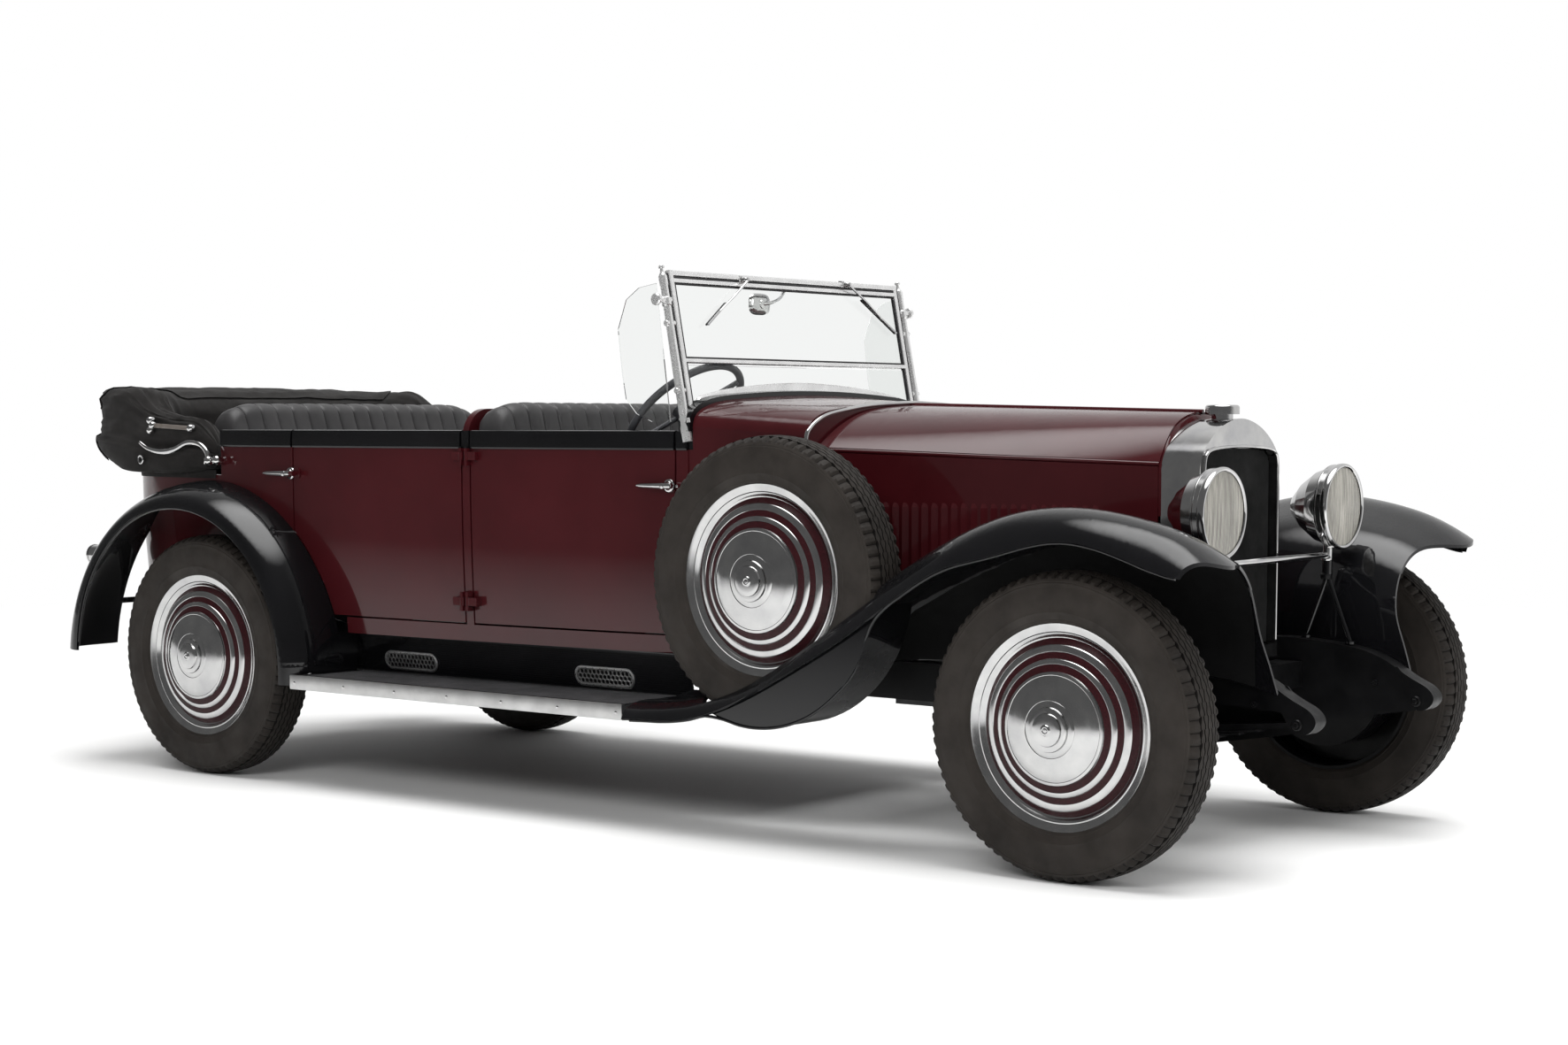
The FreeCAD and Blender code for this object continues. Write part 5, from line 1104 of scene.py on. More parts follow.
def ventGrille(name, back, sign):
    spec = ventSpec
    length, height, rim, cell = spec["length"], spec["height"], spec["rim"], spec["cell"]
    x = behind(back)
    upper = onSide("splash_aprons", x + length * 0.62, spec["z"] + 0.03, sign)
    lower = onSide("splash_aprons", x + length * 0.62, spec["z"] - 0.025, sign)
    up = (upper - lower).normalized()
    out = Vector((0, sign * up.z, -sign * up.y)).normalized()
    if out.y * sign < 0:
        out = -out
    base = lower.lerp(upper, (spec["z"] - lower.z) / (upper.z - lower.z))
    base.x = x

    def at(along, high, away):
        return base + Vector((along, 0, 0)) + up * high + out * away

    def outline(inset, away):
        return [at(*stadiumPoint(length - inset, height - inset, index / spec["count"]), away)
                for index in range(spec["count"])]

    shell = Shell()
    shell.grid([outline(2 * inset, away) for inset, away in spec["frame"]], "ventMetal", closed=True)
    # the black cap behind the comb is painted shade, for the dark opening behind the grille
    shell.cap(shell.row(outline(rim, 0.0007)), "gearBlack")
    for index in range(spec["rivets"]):
        along, high = stadiumPoint(length - rim, height - rim, (index + 0.5) / spec["rivets"])
        shell.bolt(at(along, high, 0.0054), out, *spec["rivet"], "nickel", 8)
    long, tall = length - 2 * rim, height - 2 * rim
    for row in range(-spec["rows"], spec["rows"] + 1):
        for column in range(-spec["columns"], spec["columns"] + 1):
            x = (column + (0.5 if row % 2 else 0.0)) * cell
            z = row * cell * math.sqrt(3) / 2
            if clampedIn(x, z, long + cell * 0.8, tall + cell * 0.8)[2] >= 1:
                continue
            rings = []
            for wires, away in spec["comb"]:
                radius = (cell - spec["wire"] * wires) / math.sqrt(3)
                turns = [math.radians(turn) for turn in range(30, 390, 60)]
                corners = [(x + radius * math.cos(turn), z + radius * math.sin(turn)) for turn in turns]
                rings.append([at(*clampedIn(*corner, long, tall)[:2], away) for corner in corners])
            shell.grid(rings, "ventMetal", closed=True)
    shell.piece(name, "chassis", "nickel", 35.0, normals=False)


def vents(side, sign):
    for number, back in enumerate(ventSpec["places"], 1):
        ventGrille("vent_%s_%d" % (side, number), back, sign)


eachSide("vents", vents)


# Windscreen: stanchions, flat frames with their rubber, sill band, wipers and mirror

screenSpec = {
    "footBack": 1.444, "footZ": 1.163, "rake": 0.092, "headZ": 1.634, "halfWidth": 0.572, "barZ": 1.375,
    "post": 0.604,   # the stanchions, off the middle
    "stanchion": [(-0.030, 0.0), (-0.030, 0.0150), (0.012, 0.0165), (0.020, 0.0150), (0.030, 0.0142),
                  (0.380, 0.0122), (0.383, 0.0150), (0.404, 0.0150), (0.407, 0.0122), (0.440, 0.0118),
                  (0.445, 0.0132), (0.470, 0.0132), (0.476, 0.0100), (0.483, 0.0062), (0.494, 0.0045),
                  (0.4955, 0.0090), (0.5010, 0.0095), (0.5040, 0.0060), (0.5045, 0.0)],
    "sill": [(0.549, 1.196), (0.531, 1.238), (0.480, 1.251), (0.394, 1.265), (0.260, 1.278), (0.128, 1.286),
             (0.0, 1.289)],   # (off the middle, height) of the sill band's foot, one side
    "sillHigh": 0.026,
    "wipers": [((-0.232, 1.627), (-0.449, 1.485), 0.52),
               ((0.296, 1.634), (0.528, 1.485), 0.30)],   # pivot, tip, and the blade's start between them
    "mirror": {"y": -0.105, "z": 1.560, "wide": 0.104, "high": 0.068, "stemY": -0.005},
    "clip": ((-0.090, 0.020), (0.110, 0.020), (0.180, 0.048)),   # (above the bar, reach) on each stanchion
    "knob": [(0.0, 0.0), (0.0, 0.0165), (0.004, 0.0185), (0.010, 0.0185), (0.014, 0.0150), (0.0145, 0.0)],
    "knobUp": 0.180,
    "flange": (0.017, (35, 150, 270)),   # radius of the foot's bolt circle, and their degrees
    "upright": ((0.0005, 0.0, (0.020, 0.009), 0.0190, 0.0190, "screenNickel"),
                (-0.0125, 0.001, (0.05, -0.01), 0.0060, 0.0120, "matRubber"),
                (0.0140, 0.003, (0.06, 0.0), 0.0050, 0.0060, "matRubber")),   # out, ahead, ends, wide, deep
    "rails": (("headZ", 0.001, 0.020, 0.0165, "screenNickel"), ("headZ", -0.0115, 0.016, 0.007, "matRubber"),
              ("headZ", -0.021, 0.018, 0.013, "screenNickel"), ("headZ", -0.030, 0.010, 0.005, "matRubber"),
              ("barZ", -0.0005, 0.018, 0.0125, "screenNickel"), ("barZ", 0.0085, 0.012, 0.0055, "matRubber")),
    "railIn": {"screenNickel": 0.001, "matRubber": 0.008},
    "spindle": [(-0.002, 0.0), (-0.002, 0.0085), (0.020, 0.0085), (0.024, 0.006), (0.030, 0.005),
                (0.0305, 0.0)],
    "mirrorBack": ((-0.004, 0.0), (-0.004, 0.93), (-0.001, 1.0), (0.003, 0.98), (0.010, 0.80), (0.013, 0.45),
                   (0.0138, 0.0)),   # (place, share of its size)
    "mirrorSquare": 3.2,
    "mirrorCount": 40,
}


def onScreen(level, y, away=0.0):
    spec = screenSpec
    share = (level - spec["footZ"]) / (spec["headZ"] - spec["footZ"])
    return Vector((behind(spec["footBack"]) - spec["rake"] * share + away, y, level))


def makeScreen(spec):
    shell = Shell()
    foot, head, half, metal = spec["footZ"], spec["headZ"], spec["halfWidth"], "screenNickel"
    way = (onScreen(head, 0) - onScreen(foot, 0)).normalized()
    for sign in (-1, 1):
        outwards = Vector((0, sign, 0))
        shell.turned(spec["stanchion"], onScreen(foot, sign * spec["post"]), way, metal, 32)
        for out, away, (start, end), wide, deep, finish in spec["upright"]:
            path = [onScreen(level, sign * (half + out), away) for level in (foot + start, head + end)]
            shell.bar(path, wide, deep, (0, 1, 0), finish)
        for up, reach in spec["clip"]:
            start = onScreen(spec["barZ"] + up, sign * (spec["post"] - 0.018))
            shell.turned([(0.0, 0.0), (0.0, 0.009), (0.036, 0.009), (0.038, 0.0075), (0.018 + reach, 0.0075),
                          (0.0185 + reach, 0.0)], start, outwards, metal, 16)
        knob = onScreen(spec["barZ"] + spec["knobUp"], sign * (spec["post"] + 0.036), -0.002)
        shell.turned(spec["knob"], knob, outwards, metal, 24)
        flange = onScreen(foot + 0.030, sign * spec["post"], 0.004)
        radius, turns = spec["flange"]
        for turn in (math.radians(degrees) for degrees in turns):
            where = flange + Vector((radius * math.cos(turn), sign * 0.006, radius * math.sin(turn)))
            shell.bolt(where - way * 0.012, way, 0.0062, 0.014, metal, 8)
    for base, up, deep, tall, finish in spec["rails"]:
        level, reach = spec[base] + up, half - spec["railIn"][finish]
        shell.bar([onScreen(level, -reach), onScreen(level, reach)], tall, deep, way, finish)
    sill = spec["sill"] + [(-y, z) for y, z in spec["sill"][-2::-1]]
    rows = []
    for point in smoothLine([(0, y, z) for y, z in sill], 6):
        low, high = point.z - 0.012, point.z + spec["sillHigh"]
        rows.append([onScreen(level, point.y, away) for level, away in
                     ((low, 0.008), (high - 0.004, 0.008), (high, 0.004), (high, -0.003), (low, -0.003))])
    shell.solid(rows, metal)
    shell.piece("screen_frame_detail", "chassis", "nickel", 35.0, ("windscreen_frame",))


def makeWipers(spec):
    shell = Shell()
    front, across = 0.022, (0, 1, 0)
    for (pivotY, pivotZ), (tipY, tipZ), start in spec["wipers"]:
        def along(share, away):
            return onScreen(pivotZ + (tipZ - pivotZ) * share, pivotY + (tipY - pivotY) * share, away)

        foot, top = along(0, 0), along(0, front + 0.004)
        low = along(0.70, front - 0.002)
        shell.turned(spec["spindle"], foot, Vector((1, 0, 0.15)), "nickel", 16)
        housing = [foot + Vector((0.002, -0.012, z)) for z in (-0.018, 0.014)]
        shell.bar(housing, 0.018, 0.014, across, "nickel")
        bend = top.lerp(low, 0.5) + Vector((0.004, 0, 0))
        shell.rod([top, bend, low], [0.0042, 0.0036, 0.0028], "nickel", 10)
        blade = [along(start, front - 0.008), along(1, front - 0.008)]
        shell.bar(blade, 0.0055, 0.0100, across, "matRubber")
        shell.bar([point + Vector((0.006, 0, 0)) for point in blade], 0.0065, 0.0040, across, "nickel")
    shell.piece("wipers", "chassis", "nickel", 35.0)


def makeMirror(spec):
    mirror = spec["mirror"]
    power = spec["mirrorSquare"]
    centre = onScreen(mirror["z"], mirror["y"], -0.045)
    rings = []
    for away, grow in spec["mirrorBack"]:
        size = max(grow, 0.01)
        ring = []
        for index in range(spec["mirrorCount"]):
            turn = 2 * math.pi * index / spec["mirrorCount"]
            cosine, sine = math.cos(turn), math.sin(turn)
            reach = (abs(cosine) ** power + abs(sine) ** power) ** (-1 / power)
            ring.append(centre + Vector((away, cosine * reach * mirror["wide"] / 2 * size,
                                         sine * reach * mirror["high"] / 2 * size)))
        rings.append(ring)
    shell = Shell()
    shell.grid(rings, "nickel", closed=True)
    shell.turned([(0.0, 0.0), (0.0, 0.016), (0.006, 0.013), (0.010, 0.0)], centre + Vector((0.010, 0, 0)),
                 forward, "nickel", 20)
    stem = [centre + Vector(place) for place in ((0.016, 0, 0), (0.024, 0.025, 0.004), (0.026, 0.070, 0.020))]
    stem.append(onScreen(spec["headZ"] - 0.020, mirror["stemY"], -0.006))
    shell.rod(smoothLine(stem, 6), 0.0052, "nickel", 12)
    shell.piece("driving_mirror", "chassis", "nickel", 40.0)


makeScreen(screenSpec)
makeWipers(screenSpec)
makeMirror(screenSpec)
tell("windscreen")


# Headlamps: polished rims and fluted lenses

lampSpec = {
    "rim": [(-0.0120, 0.1205), (-0.0070, 0.1232), (0.0000, 0.1240), (0.0060, 0.1232), (0.0095, 0.1205),
            (0.0100, 0.1170), (0.0082, 0.1140), (0.0066, 0.1122)],
    "seam": [(-0.0340, 0.1135), (-0.0330, 0.1185), (-0.0300, 0.1200), (-0.0270, 0.1195), (-0.0255, 0.1205)],
    "crown": 0.0075,
    "radius": 0.1130,
    "flute": 0.0062,
    "fluteDeep": 0.0009,
    "post": 0.162,
    "collars": [(0.792, [(0.0, 0.009), (0.002, 0.0165), (0.012, 0.0175), (0.020, 0.0150), (0.030, 0.0120),
                         (0.040, 0.0105), (0.046, 0.0)], "nickel"),
                (0.744, [(-0.004, 0.0), (-0.004, 0.0150), (0.002, 0.0170), (0.010, 0.0170), (0.014, 0.0130),
                         (0.044, 0.0125), (0.048, 0.0090)], "gearBlack")],
    "levels": 12,
    "tailDrop": (0.036, 0.709),   # tail lens in from the lamp's side, and its height
    "tailRim": [(-0.004, 0.0372), (0.003, 0.0376), (0.005, 0.0350), (0.004, 0.0310)],
    "tailLens": [(0.003, 0.0315), (0.007, 0.0250), (0.0095, 0.0140), (0.0105, 0.0)],
}


def headlamp(side, sign):
    spec = lampSpec
    low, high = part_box("headlamp_glasses")
    lampY = sign * (high.y - (high.z - low.z) / 2)
    centre = Vector((high.x - 0.006, lampY, (low.z + high.z) / 2))
    shell = Shell()
    for profile in (spec["rim"], spec["seam"]):
        shell.turned(profile, centre, forward, "nickel", 72)
    for foot, profile, finish in spec["collars"]:
        shell.turned(profile, Vector((axleX + spec["post"], lampY, foot)), upward, finish, 24)
    shell.piece("lamp_rim_" + side, "chassis", "nickel", 40.0)
    radius = spec["radius"]
    rows = []
    for y in spread(-radius, radius, round(2 * radius / spec["flute"] * 8))[1:-1]:
        tall = math.sqrt(radius ** 2 - y ** 2)
        front = 0.003 + spec["fluteDeep"] * abs(math.sin(math.pi * y / spec["flute"]))
        rows.append([centre + Vector((front + spec["crown"] * (1 - (y * y + z * z) / radius ** 2), y, z))
                     for z in spread(-tall, tall, spec["levels"])])
    lens = Shell()
    lens.grid(rows, "lampGlass")
    lens.piece("lamp_lens_" + side, "chassis", "lens_glass", 60.0, ("headlamp_glasses",))


def tailLens(side, sign):
    low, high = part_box("tail_lamps")
    inset, z = lampSpec["tailDrop"]
    shell = Shell()
    for profile, finish in ((lampSpec["tailRim"], "nickel"), (lampSpec["tailLens"], "redGlass")):
        shell.turned(profile, Vector((low.x, sign * (high.y - inset), z)), -forward, finish, 40)
    shell.piece("tail_lens_" + side, "chassis", "lens_glass", 50.0)


eachSide("headlamps", headlamp)
eachSide("tail lamps", tailLens)


# Polished bead where the bonnet meets the cowl

bonnetBeadSpec = {
    "line": [(0.0, 1.250), (0.062, 1.249), (0.220, 1.242), (0.347, 1.228), (0.435, 1.214), (0.487, 1.195),
             (0.522, 1.172), (0.536, 1.150), (0.5385, 1.120)],   # (off the middle, height) on the cowl's edge
    "back": 1.047,
    "radius": 0.0068,
}


def makeBonnetBead(spec):
    line = smoothLine([(behind(spec["back"]), y, z) for y, z in spec["line"]], 5)
    shell = Shell()
    shell.rod(flipped(reversed(line)) + line[1:], spec["radius"], "nickel", 14)
    shell.piece("bonnet_bead", "chassis", "nickel", 45.0)


makeBonnetBead(bonnetBeadSpec)
tell("bonnet bead")


# Hood's irons: a link bar and a curved arm on each side, and the cover's eyelet

ironSpec = {
    "arm": [(3.839, 1.121), (3.790, 1.099), (3.716, 1.090), (3.645, 1.099), (3.590, 1.119), (3.545, 1.122),
            (3.505, 1.111), (3.480, 1.088), (3.474, 1.062)],   # (behind the front axle, height)
    "armRadii": (0.0060, 0.0078, 0.0105, 0.0120, 0.0112, 0.0092, 0.0086, 0.0084, 0.0084),
    "armSteps": 5,
    "link": ((3.769, 1.181), (3.565, 1.171)),
    "knob": [(-0.012, 0.0), (-0.012, 0.0135), (-0.004, 0.0165), (0.006, 0.0165), (0.013, 0.012),
             (0.016, 0.0)],
    "boss": [(-0.010, 0.0), (-0.010, 0.0125), (0.004, 0.0135), (0.010, 0.0105), (0.013, 0.006), (0.014, 0.0)],
    "ball": ((3.474, 1.060), (3.430, 1.062)),
    "eyelet": (3.840, 0.7265, 1.062),
    "ring": [(-0.003, 0.0165), (0.0035, 0.0165), (0.0055, 0.0140), (0.0045, 0.0095), (0.0005, 0.0085)],
    "hole": [(0.0008, 0.0088), (0.0004, 0.0)],
}


def hoodIrons(side, sign):
    spec = ironSpec
    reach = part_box("hood_irons")[1].y - 0.014
    out = Vector((0, sign, 0))
    steps, sizes = spec["armSteps"], spec["armRadii"]
    shell = Shell()
    arm = smoothLine([(behind(back), sign * (reach + 0.001), z) for back, z in spec["arm"]], steps)
    shares = [(min(index // steps, len(sizes) - 2), index % steps / steps) for index in range(len(arm))]
    radii = [sizes[place] * (1 - share) + sizes[place + 1] * share for place, share in shares]
    shell.rod(arm, radii, "nickel", 14)
    ends = [Vector((behind(back), sign * reach, z)) for back, z in spec["link"]]
    shell.bar(ends, 0.0150, 0.0080, (0, 0, 1), "ironBar")
    for end in ends:
        shell.turned(spec["boss"], end, out, "nickel", 20)
    for corner in (-1, 1):
        shell.turned(spec["boss"], ends[0] + Vector((-0.012, 0, 0.017 * corner)), out, "nickel", 16)
    for back, z in spec["ball"]:
        shell.turned(spec["knob"], Vector((behind(back), sign * reach, z)), out, "nickel", 24)
    shell.piece("hood_iron_" + side, "chassis", "nickel", 45.0, ("hood_irons",))
    back, y, z = spec["eyelet"]
    eyelet = Shell()
    # the black disc in the eyelet's hole is painted shade
    for profile, finish in ((spec["ring"], "nickel"), (spec["hole"], "gearBlack")):
        eyelet.turned(profile, Vector((behind(back), sign * y, z)), out, finish, 28)
    eyelet.piece("hood_eyelet_" + side, "chassis", "nickel", 45.0)


eachSide("hood irons", hoodIrons)


# Black plates that close the space between the rear wings, the body and the splash aprons

plateSpec = {
    "outline": [(2.90, 0.328), (2.90, 0.520), (3.09, 0.560), (3.14, 0.500), (3.06, 0.400), (3.02, 0.328)],
    "side": 0.612,
    "thick": 0.004,
}


def closingPlate(side, sign):
    spec = plateSpec
    shell = Shell()
    shell.solid([[Vector((behind(back), sign * y, z)) for back, z in spec["outline"]]
                 for y in (spec["side"], spec["side"] + spec["thick"])], "blackPaint")
    shell.piece("apron_end_" + side, "chassis", "black_paint", 35.0)


eachSide("closing plates", closingPlate)


# Feet of the rear wings: their skin carried down to the boards

footSpec = {
    "level": 0.396,        # where the wing's own skin ends
    "onBoard": 0.3708,
    "hanging": 0.334,      # behind the board's end
    "boardEnd": 2.923,
    "thick": 0.0025,
    "across": (0.600, 0.872, 14),   # where its front is probed, off the middle
    "along": (0.006, 0.096, 9),     # and its side, behind its front
    "slack": 0.045,
    "farOut": 0.80,
    "overlap": 0.012,
}


def wingFoot(side, sign):
    spec = footSpec
    level, thick = spec["level"], spec["thick"]
    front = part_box("rear_wings")[1].x
    path = []
    for y in spread(*spec["across"]):
        hit = hitOn("rear_wings", Vector((front + 0.4, sign * y, level)), -forward)
        if hit is not None and hit.x > front - spec["slack"]:
            path.append(hit)
    for back in spread(*spec["along"]):
        hit = onSide("rear_wings", front - back, level, sign)
        if hit is not None and abs(hit.y) > spec["farOut"]:
            path.append(hit)
    rows = []
    for index, point in enumerate(path):
        way = wayAt(path, index)
        inward = Vector((-way.y, way.x, 0)) * sign
        if inward.x > 0.5 or inward.y * sign > 0.5:
            inward = -inward
        foot = spec["onBoard" if point.x > behind(spec["boardEnd"]) else "hanging"]
        top = level + spec["overlap"]
        rows.append([Vector((point.x, point.y, z)) + inward * depth
                     for z, depth in ((top, 0.0), (foot, 0.0), (foot, thick), (top, thick))])
    shell = Shell()
    shell.solid(rows, "blackPaint")
    shell.piece("wing_foot_" + side, "chassis", "black_paint", 40.0)


eachSide("wing feet", wingFoot)


# Rolled beads along the wings' outer lips

beadSpec = {
    "radius": 0.0046,
    "reach": 0.55,      # a lip is never nearer to the middle than this
    "front": (0.355, -1.440),
    "steps": 64,
    "turn": (-8.0, 188.0),
    "halvings": 5,
}


def lipPoint(nodeName, start, step, sign, count):
    # first place along a march over the car's side where the wing's outer face is met
    def met(place):
        hit = onSide(nodeName, place.x, place.z, sign)
        return hit if hit is not None and abs(hit.y) > beadSpec["reach"] else None

    for place in (start + step * number for number in range(count)):
        hit = met(place)
        if hit is not None:
            low = place - step
            for halving in range(beadSpec["halvings"]):
                half = (low + place) / 2
                found = met(half)
                if found is None:
                    low = half
                else:
                    place, hit = half, found
            return hit
    return None


def wingBead(name, points):
    points = [point for point in points if point is not None]
    shell = Shell()
    shell.rod(smoothLine([points[0], *points[1:-1:2], points[-1]], 3), beadSpec["radius"], "blackPaint", 10)
    shell.piece(name, "chassis", "black_paint", 60.0)


def wingBeads(side, sign):
    spec = beadSpec
    hub = middle("wheel_rear_right")
    wingBead("wing_bead_front_" + side,
             [lipPoint("front_wings", Vector((axleX + ahead, 0, 0.300)), Vector((0, 0, 0.008)), sign, 90)
              for ahead in spread(*spec["front"], spec["steps"] - 1)])
    ways = [Vector((math.cos(math.radians(turn)), 0, math.sin(math.radians(turn))))
            for turn in spread(*spec["turn"], spec["steps"] - 1)]
    wingBead("wing_bead_rear_" + side,
             [lipPoint("rear_wings", hub + way * 0.36, way * 0.006, sign, 60) for way in ways])


eachSide("wing beads", wingBeads)


# Dull black sheet on the wing valances, on the wheels' side, that keeps them dark and without gloss

dullValanceSpec = {
    "from": 0.560,      # rays start this far from the middle, between the valance and the wheel
    "nearest": 0.380,
    "span": (0.340, -1.300),
    "heights": (0.320, 0.900),
    "scan": 0.004,
    "steps": (84, 14),
    "away": 0.0008,
}


def dullValanceHit(x, z, sign):
    spec = dullValanceSpec
    hit = hitOn("front_wings", Vector((x, sign * spec["from"], z)), Vector((0, -sign, 0)))
    inside = hit is not None and spec["nearest"] < abs(hit.y) < spec["from"] - 0.004
    return hit + Vector((0, sign * spec["away"], 0)) if inside else None


def underseal(side, sign):
    spec = dullValanceSpec
    columns, levels = spec["steps"]
    low, high = spec["heights"]
    scans = [low + spec["scan"] * number for number in range(int((high - low) / spec["scan"]))]
    rows = []
    for ahead in spread(*spec["span"], columns - 1):
        x = axleX + ahead
        met = [z for z in scans if dullValanceHit(x, z, sign) is not None]
        row = [dullValanceHit(x, z, sign) for z in spread(met[0], met[-1], levels - 1)] if met else [None]
        if None not in row:
            rows.append(row)
    shell = Shell()
    shell.grid(rows, "underseal")
    shell.piece("dullValance_" + side, "chassis", "black_paint", 60.0)


eachSide("underseal", underseal)


# Polished bead round the radiator's opening

mouthSpec = {
    "line": [(0.215, 0.57), (0.215, 0.70), (0.215, 0.85), (0.215, 1.00), (0.215, 1.06), (0.2125, 1.085),
             (0.204, 1.1025), (0.184, 1.113), (0.140, 1.1195), (0.070, 1.123), (0.0, 1.124)],
    "radius": 0.0046,
}


def radiatorBead(spec):
    half = []
    for y, z in spec["line"]:
        for inset in (0.002 * number for number in range(8)):
            start = Vector((axleX + 0.6, y + inset * (1 if y else 0), z + inset))
            found = hitOn("radiator_shell", start, -forward)
            if found is not None and found.x > axleX - 0.12:
                break
        if found is not None:
            half.append(Vector((found.x, y, z)))
    shell = Shell()
    shell.rod(smoothLine(half + flipped(reversed(half[:-1])), 4), spec["radius"], "nickel", 12)
    shell.piece("radiator_bead", "chassis", "nickel", 60.0)


radiatorBead(mouthSpec)
tell("radiator bead")


# Eye bolts at the front springs' ends, through the dumb irons

eyeSpec = {
    "places": ((0.455, 0.406), (0.330, 0.452)),   # (ahead of the front axle, height)
    "sizes": (0.0150, 0.0080),
    "high": 0.007,
}


def eyeBolts(spec):
    shell = Shell()
    for sign in sideSigns.values():
        for (ahead, z), size in zip(spec["places"], spec["sizes"]):
            for start, way in ((0.0, sign), (sign * 0.60, -sign)):
                hit = hitOn("chassis_frame", Vector((axleX + ahead, start, z)), Vector((0, way, 0)))
                if hit is None or abs(hit.y) < 0.25:
                    continue
                high, out = spec["high"], Vector((0, -way, 0))
                collar = [(-0.002, size), (high * 0.6, size), (high, size * 0.82), (high, size * 0.5),
                          (high * 1.5, size * 0.45), (high * 1.6, 0.0)]
                shell.turned(collar, hit, out, "gearBlack", 28)
                shell.bolt(hit + out * high, out, size * 0.55, 0.006, "gearBlack")
    shell.piece("eye_bolts", "chassis", "running_gear", 35.0)


eyeBolts(eyeSpec)
tell("eye bolts")


# Fins across the face of the radiator's core, a lighter grey than the black core: painted highlight on their
# faces

finSpec = {
    "pitch": 0.0056,
    "wide": 0.0022,
    "deep": 0.0034,
    "edge": 0.004,
}


def radiatorFins(spec):
    low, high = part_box("radiator_core")
    first, last = low.y + spec["edge"], high.y - spec["edge"]
    half = spec["wide"] / 2
    back, front = high.x - 0.0005, high.x + spec["deep"]
    shell = Shell()
    for y in spread(first, last, int((high.y - low.y - 2 * spec["edge"]) / spec["pitch"])):
        top = hitOn("radiator_core", Vector(((low.x + high.x) / 2, y, high.z + 0.2)), -upward)
        if top is not None:
            shell.solid([[Vector((x, y + off, z)) for x, off in
                          ((back, -half), (back, half), (front, half * 0.4), (front, -half * 0.4))]
                         for z in (low.z + 0.003, top.z - 0.003)], "finMetal")
    shell.piece("radiator_fins", "chassis", "black_paint", 20.0)


radiatorFins(finSpec)
tell("radiator fins")


# Lacing welt that fills the step between the radiator shell and the bonnet's front edge

weltSpec = {
    "centre": 0.950,
    "steps": 48,
    "start": -4.0,      # degrees above the sides' level
}


def radiatorWelt(spec):
    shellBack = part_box("radiator_shell")[0].x
    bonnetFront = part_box("bonnet_top_right")[1].x
    start = Vector((bonnetFront - 0.012, 0, spec["centre"]))
    rows = []
    for angle in spread(spec["start"], 180 - spec["start"], spec["steps"]):
        way = Vector((0, math.cos(math.radians(angle)), math.sin(math.radians(angle))))
        inner = hitOn("radiator_shell", Vector((shellBack + 0.006, 0, spec["centre"])) + way * 0.8, -way)
        hits = [hitOn("bonnet_%s_%s" % (part, side), start, way)
                for part in ("top", "side") for side in sideSigns]
        outer = [(hit - start).length for hit in hits if hit is not None]
        if inner is None or not outer:
            continue
        near = (Vector((0, inner.y, inner.z)) - Vector((0, 0, spec["centre"]))).length
        far = min(outer) - 0.0015
        if far >= near + 0.001:
            rows.append([Vector((x, 0, spec["centre"])) + way * reach for reach, x in
                         ((near, shellBack + 0.001), (near + (far - near) * 0.55, shellBack - 0.0015),
                          (far, bonnetFront - 0.001), (far, bonnetFront - 0.012), (near, shellBack - 0.012))])
    shell = Shell()
    shell.solid(rows, "maroonPaint")
    shell.piece("bonnet_welt", "chassis", "black_paint", 40.0)


radiatorWelt(weltSpec)
tell("bonnet welt")


# Skirt of the hood's cover, close round the body under it

skirtSpec = {
    "centre": -1.900,
    "turn": (-66.0, -294.0),
    "steps": 72,
    "heights": (1.000, 1.028),
    "out": 0.0040,
}


def hoodSkirt(spec):
    rows = []
    low, high = spec["heights"]
    out = spec["out"]
    section = ((out, low), (out + 0.0016, (low + high) / 2), (out, high), (-0.004, high),
               (-0.004, low + 0.002), (0.0006, low))
    for angle in spread(*spec["turn"], spec["steps"]):
        way = Vector((math.cos(math.radians(angle)), math.sin(math.radians(angle)), 0))
        hit = hitOn("body_tub", Vector((spec["centre"], 0, low)) + way * 1.6, -way)
        if hit is not None:
            rows.append([Vector((hit.x, hit.y, z)) + way * away for away, z in section])
    shell = Shell()
    shell.solid(rows, "hoodCloth")
    shell.piece("hood_skirt", "chassis", "hood_cloth", 40.0)


hoodSkirt(skirtSpec)
tell("hood skirt")


# Inside: leather panels on the front doors and beside the rear seat, and carpets on the floor

trimSpec = {
    "inset": (0.0425, 0.0352),     # from the door's ends and from its foot
    "topIn": 0.060,
    "steps": (16, 10),
    "proud": 0.0050,
    "edgeProud": 0.0004,
    "carpet": (0.52, 0.006, 0.66),     # half width, thickness, and a height over the floor
    "carpetSteps": (8, 12),
    "carpetIn": 0.012,
    "carpetLong": 0.330,
    "quarter": (0.0115, 0.2405, 0.0853),     # from the door's edge, its length, below the belt's top
    "quarterFoot": 0.10,
}


def liner(name, columns, body, slotName, finish, thick, way):
    # thin panel on columns of points, thinner at its edges; a column with a miss is left out
    shell = Shell()
    rows = []
    for index, column in enumerate(columns):
        if None not in column:
            away = [trimSpec["edgeProud"] if index in (0, len(columns) - 1) else thick] * len(column)
            away[0] = away[-1] = trimSpec["edgeProud"]
            rows.append([point + way * proud for point, proud in zip(column, away)])
    shell.grid(rows, finish)
    shell.piece(name, body, slotName, 50.0)


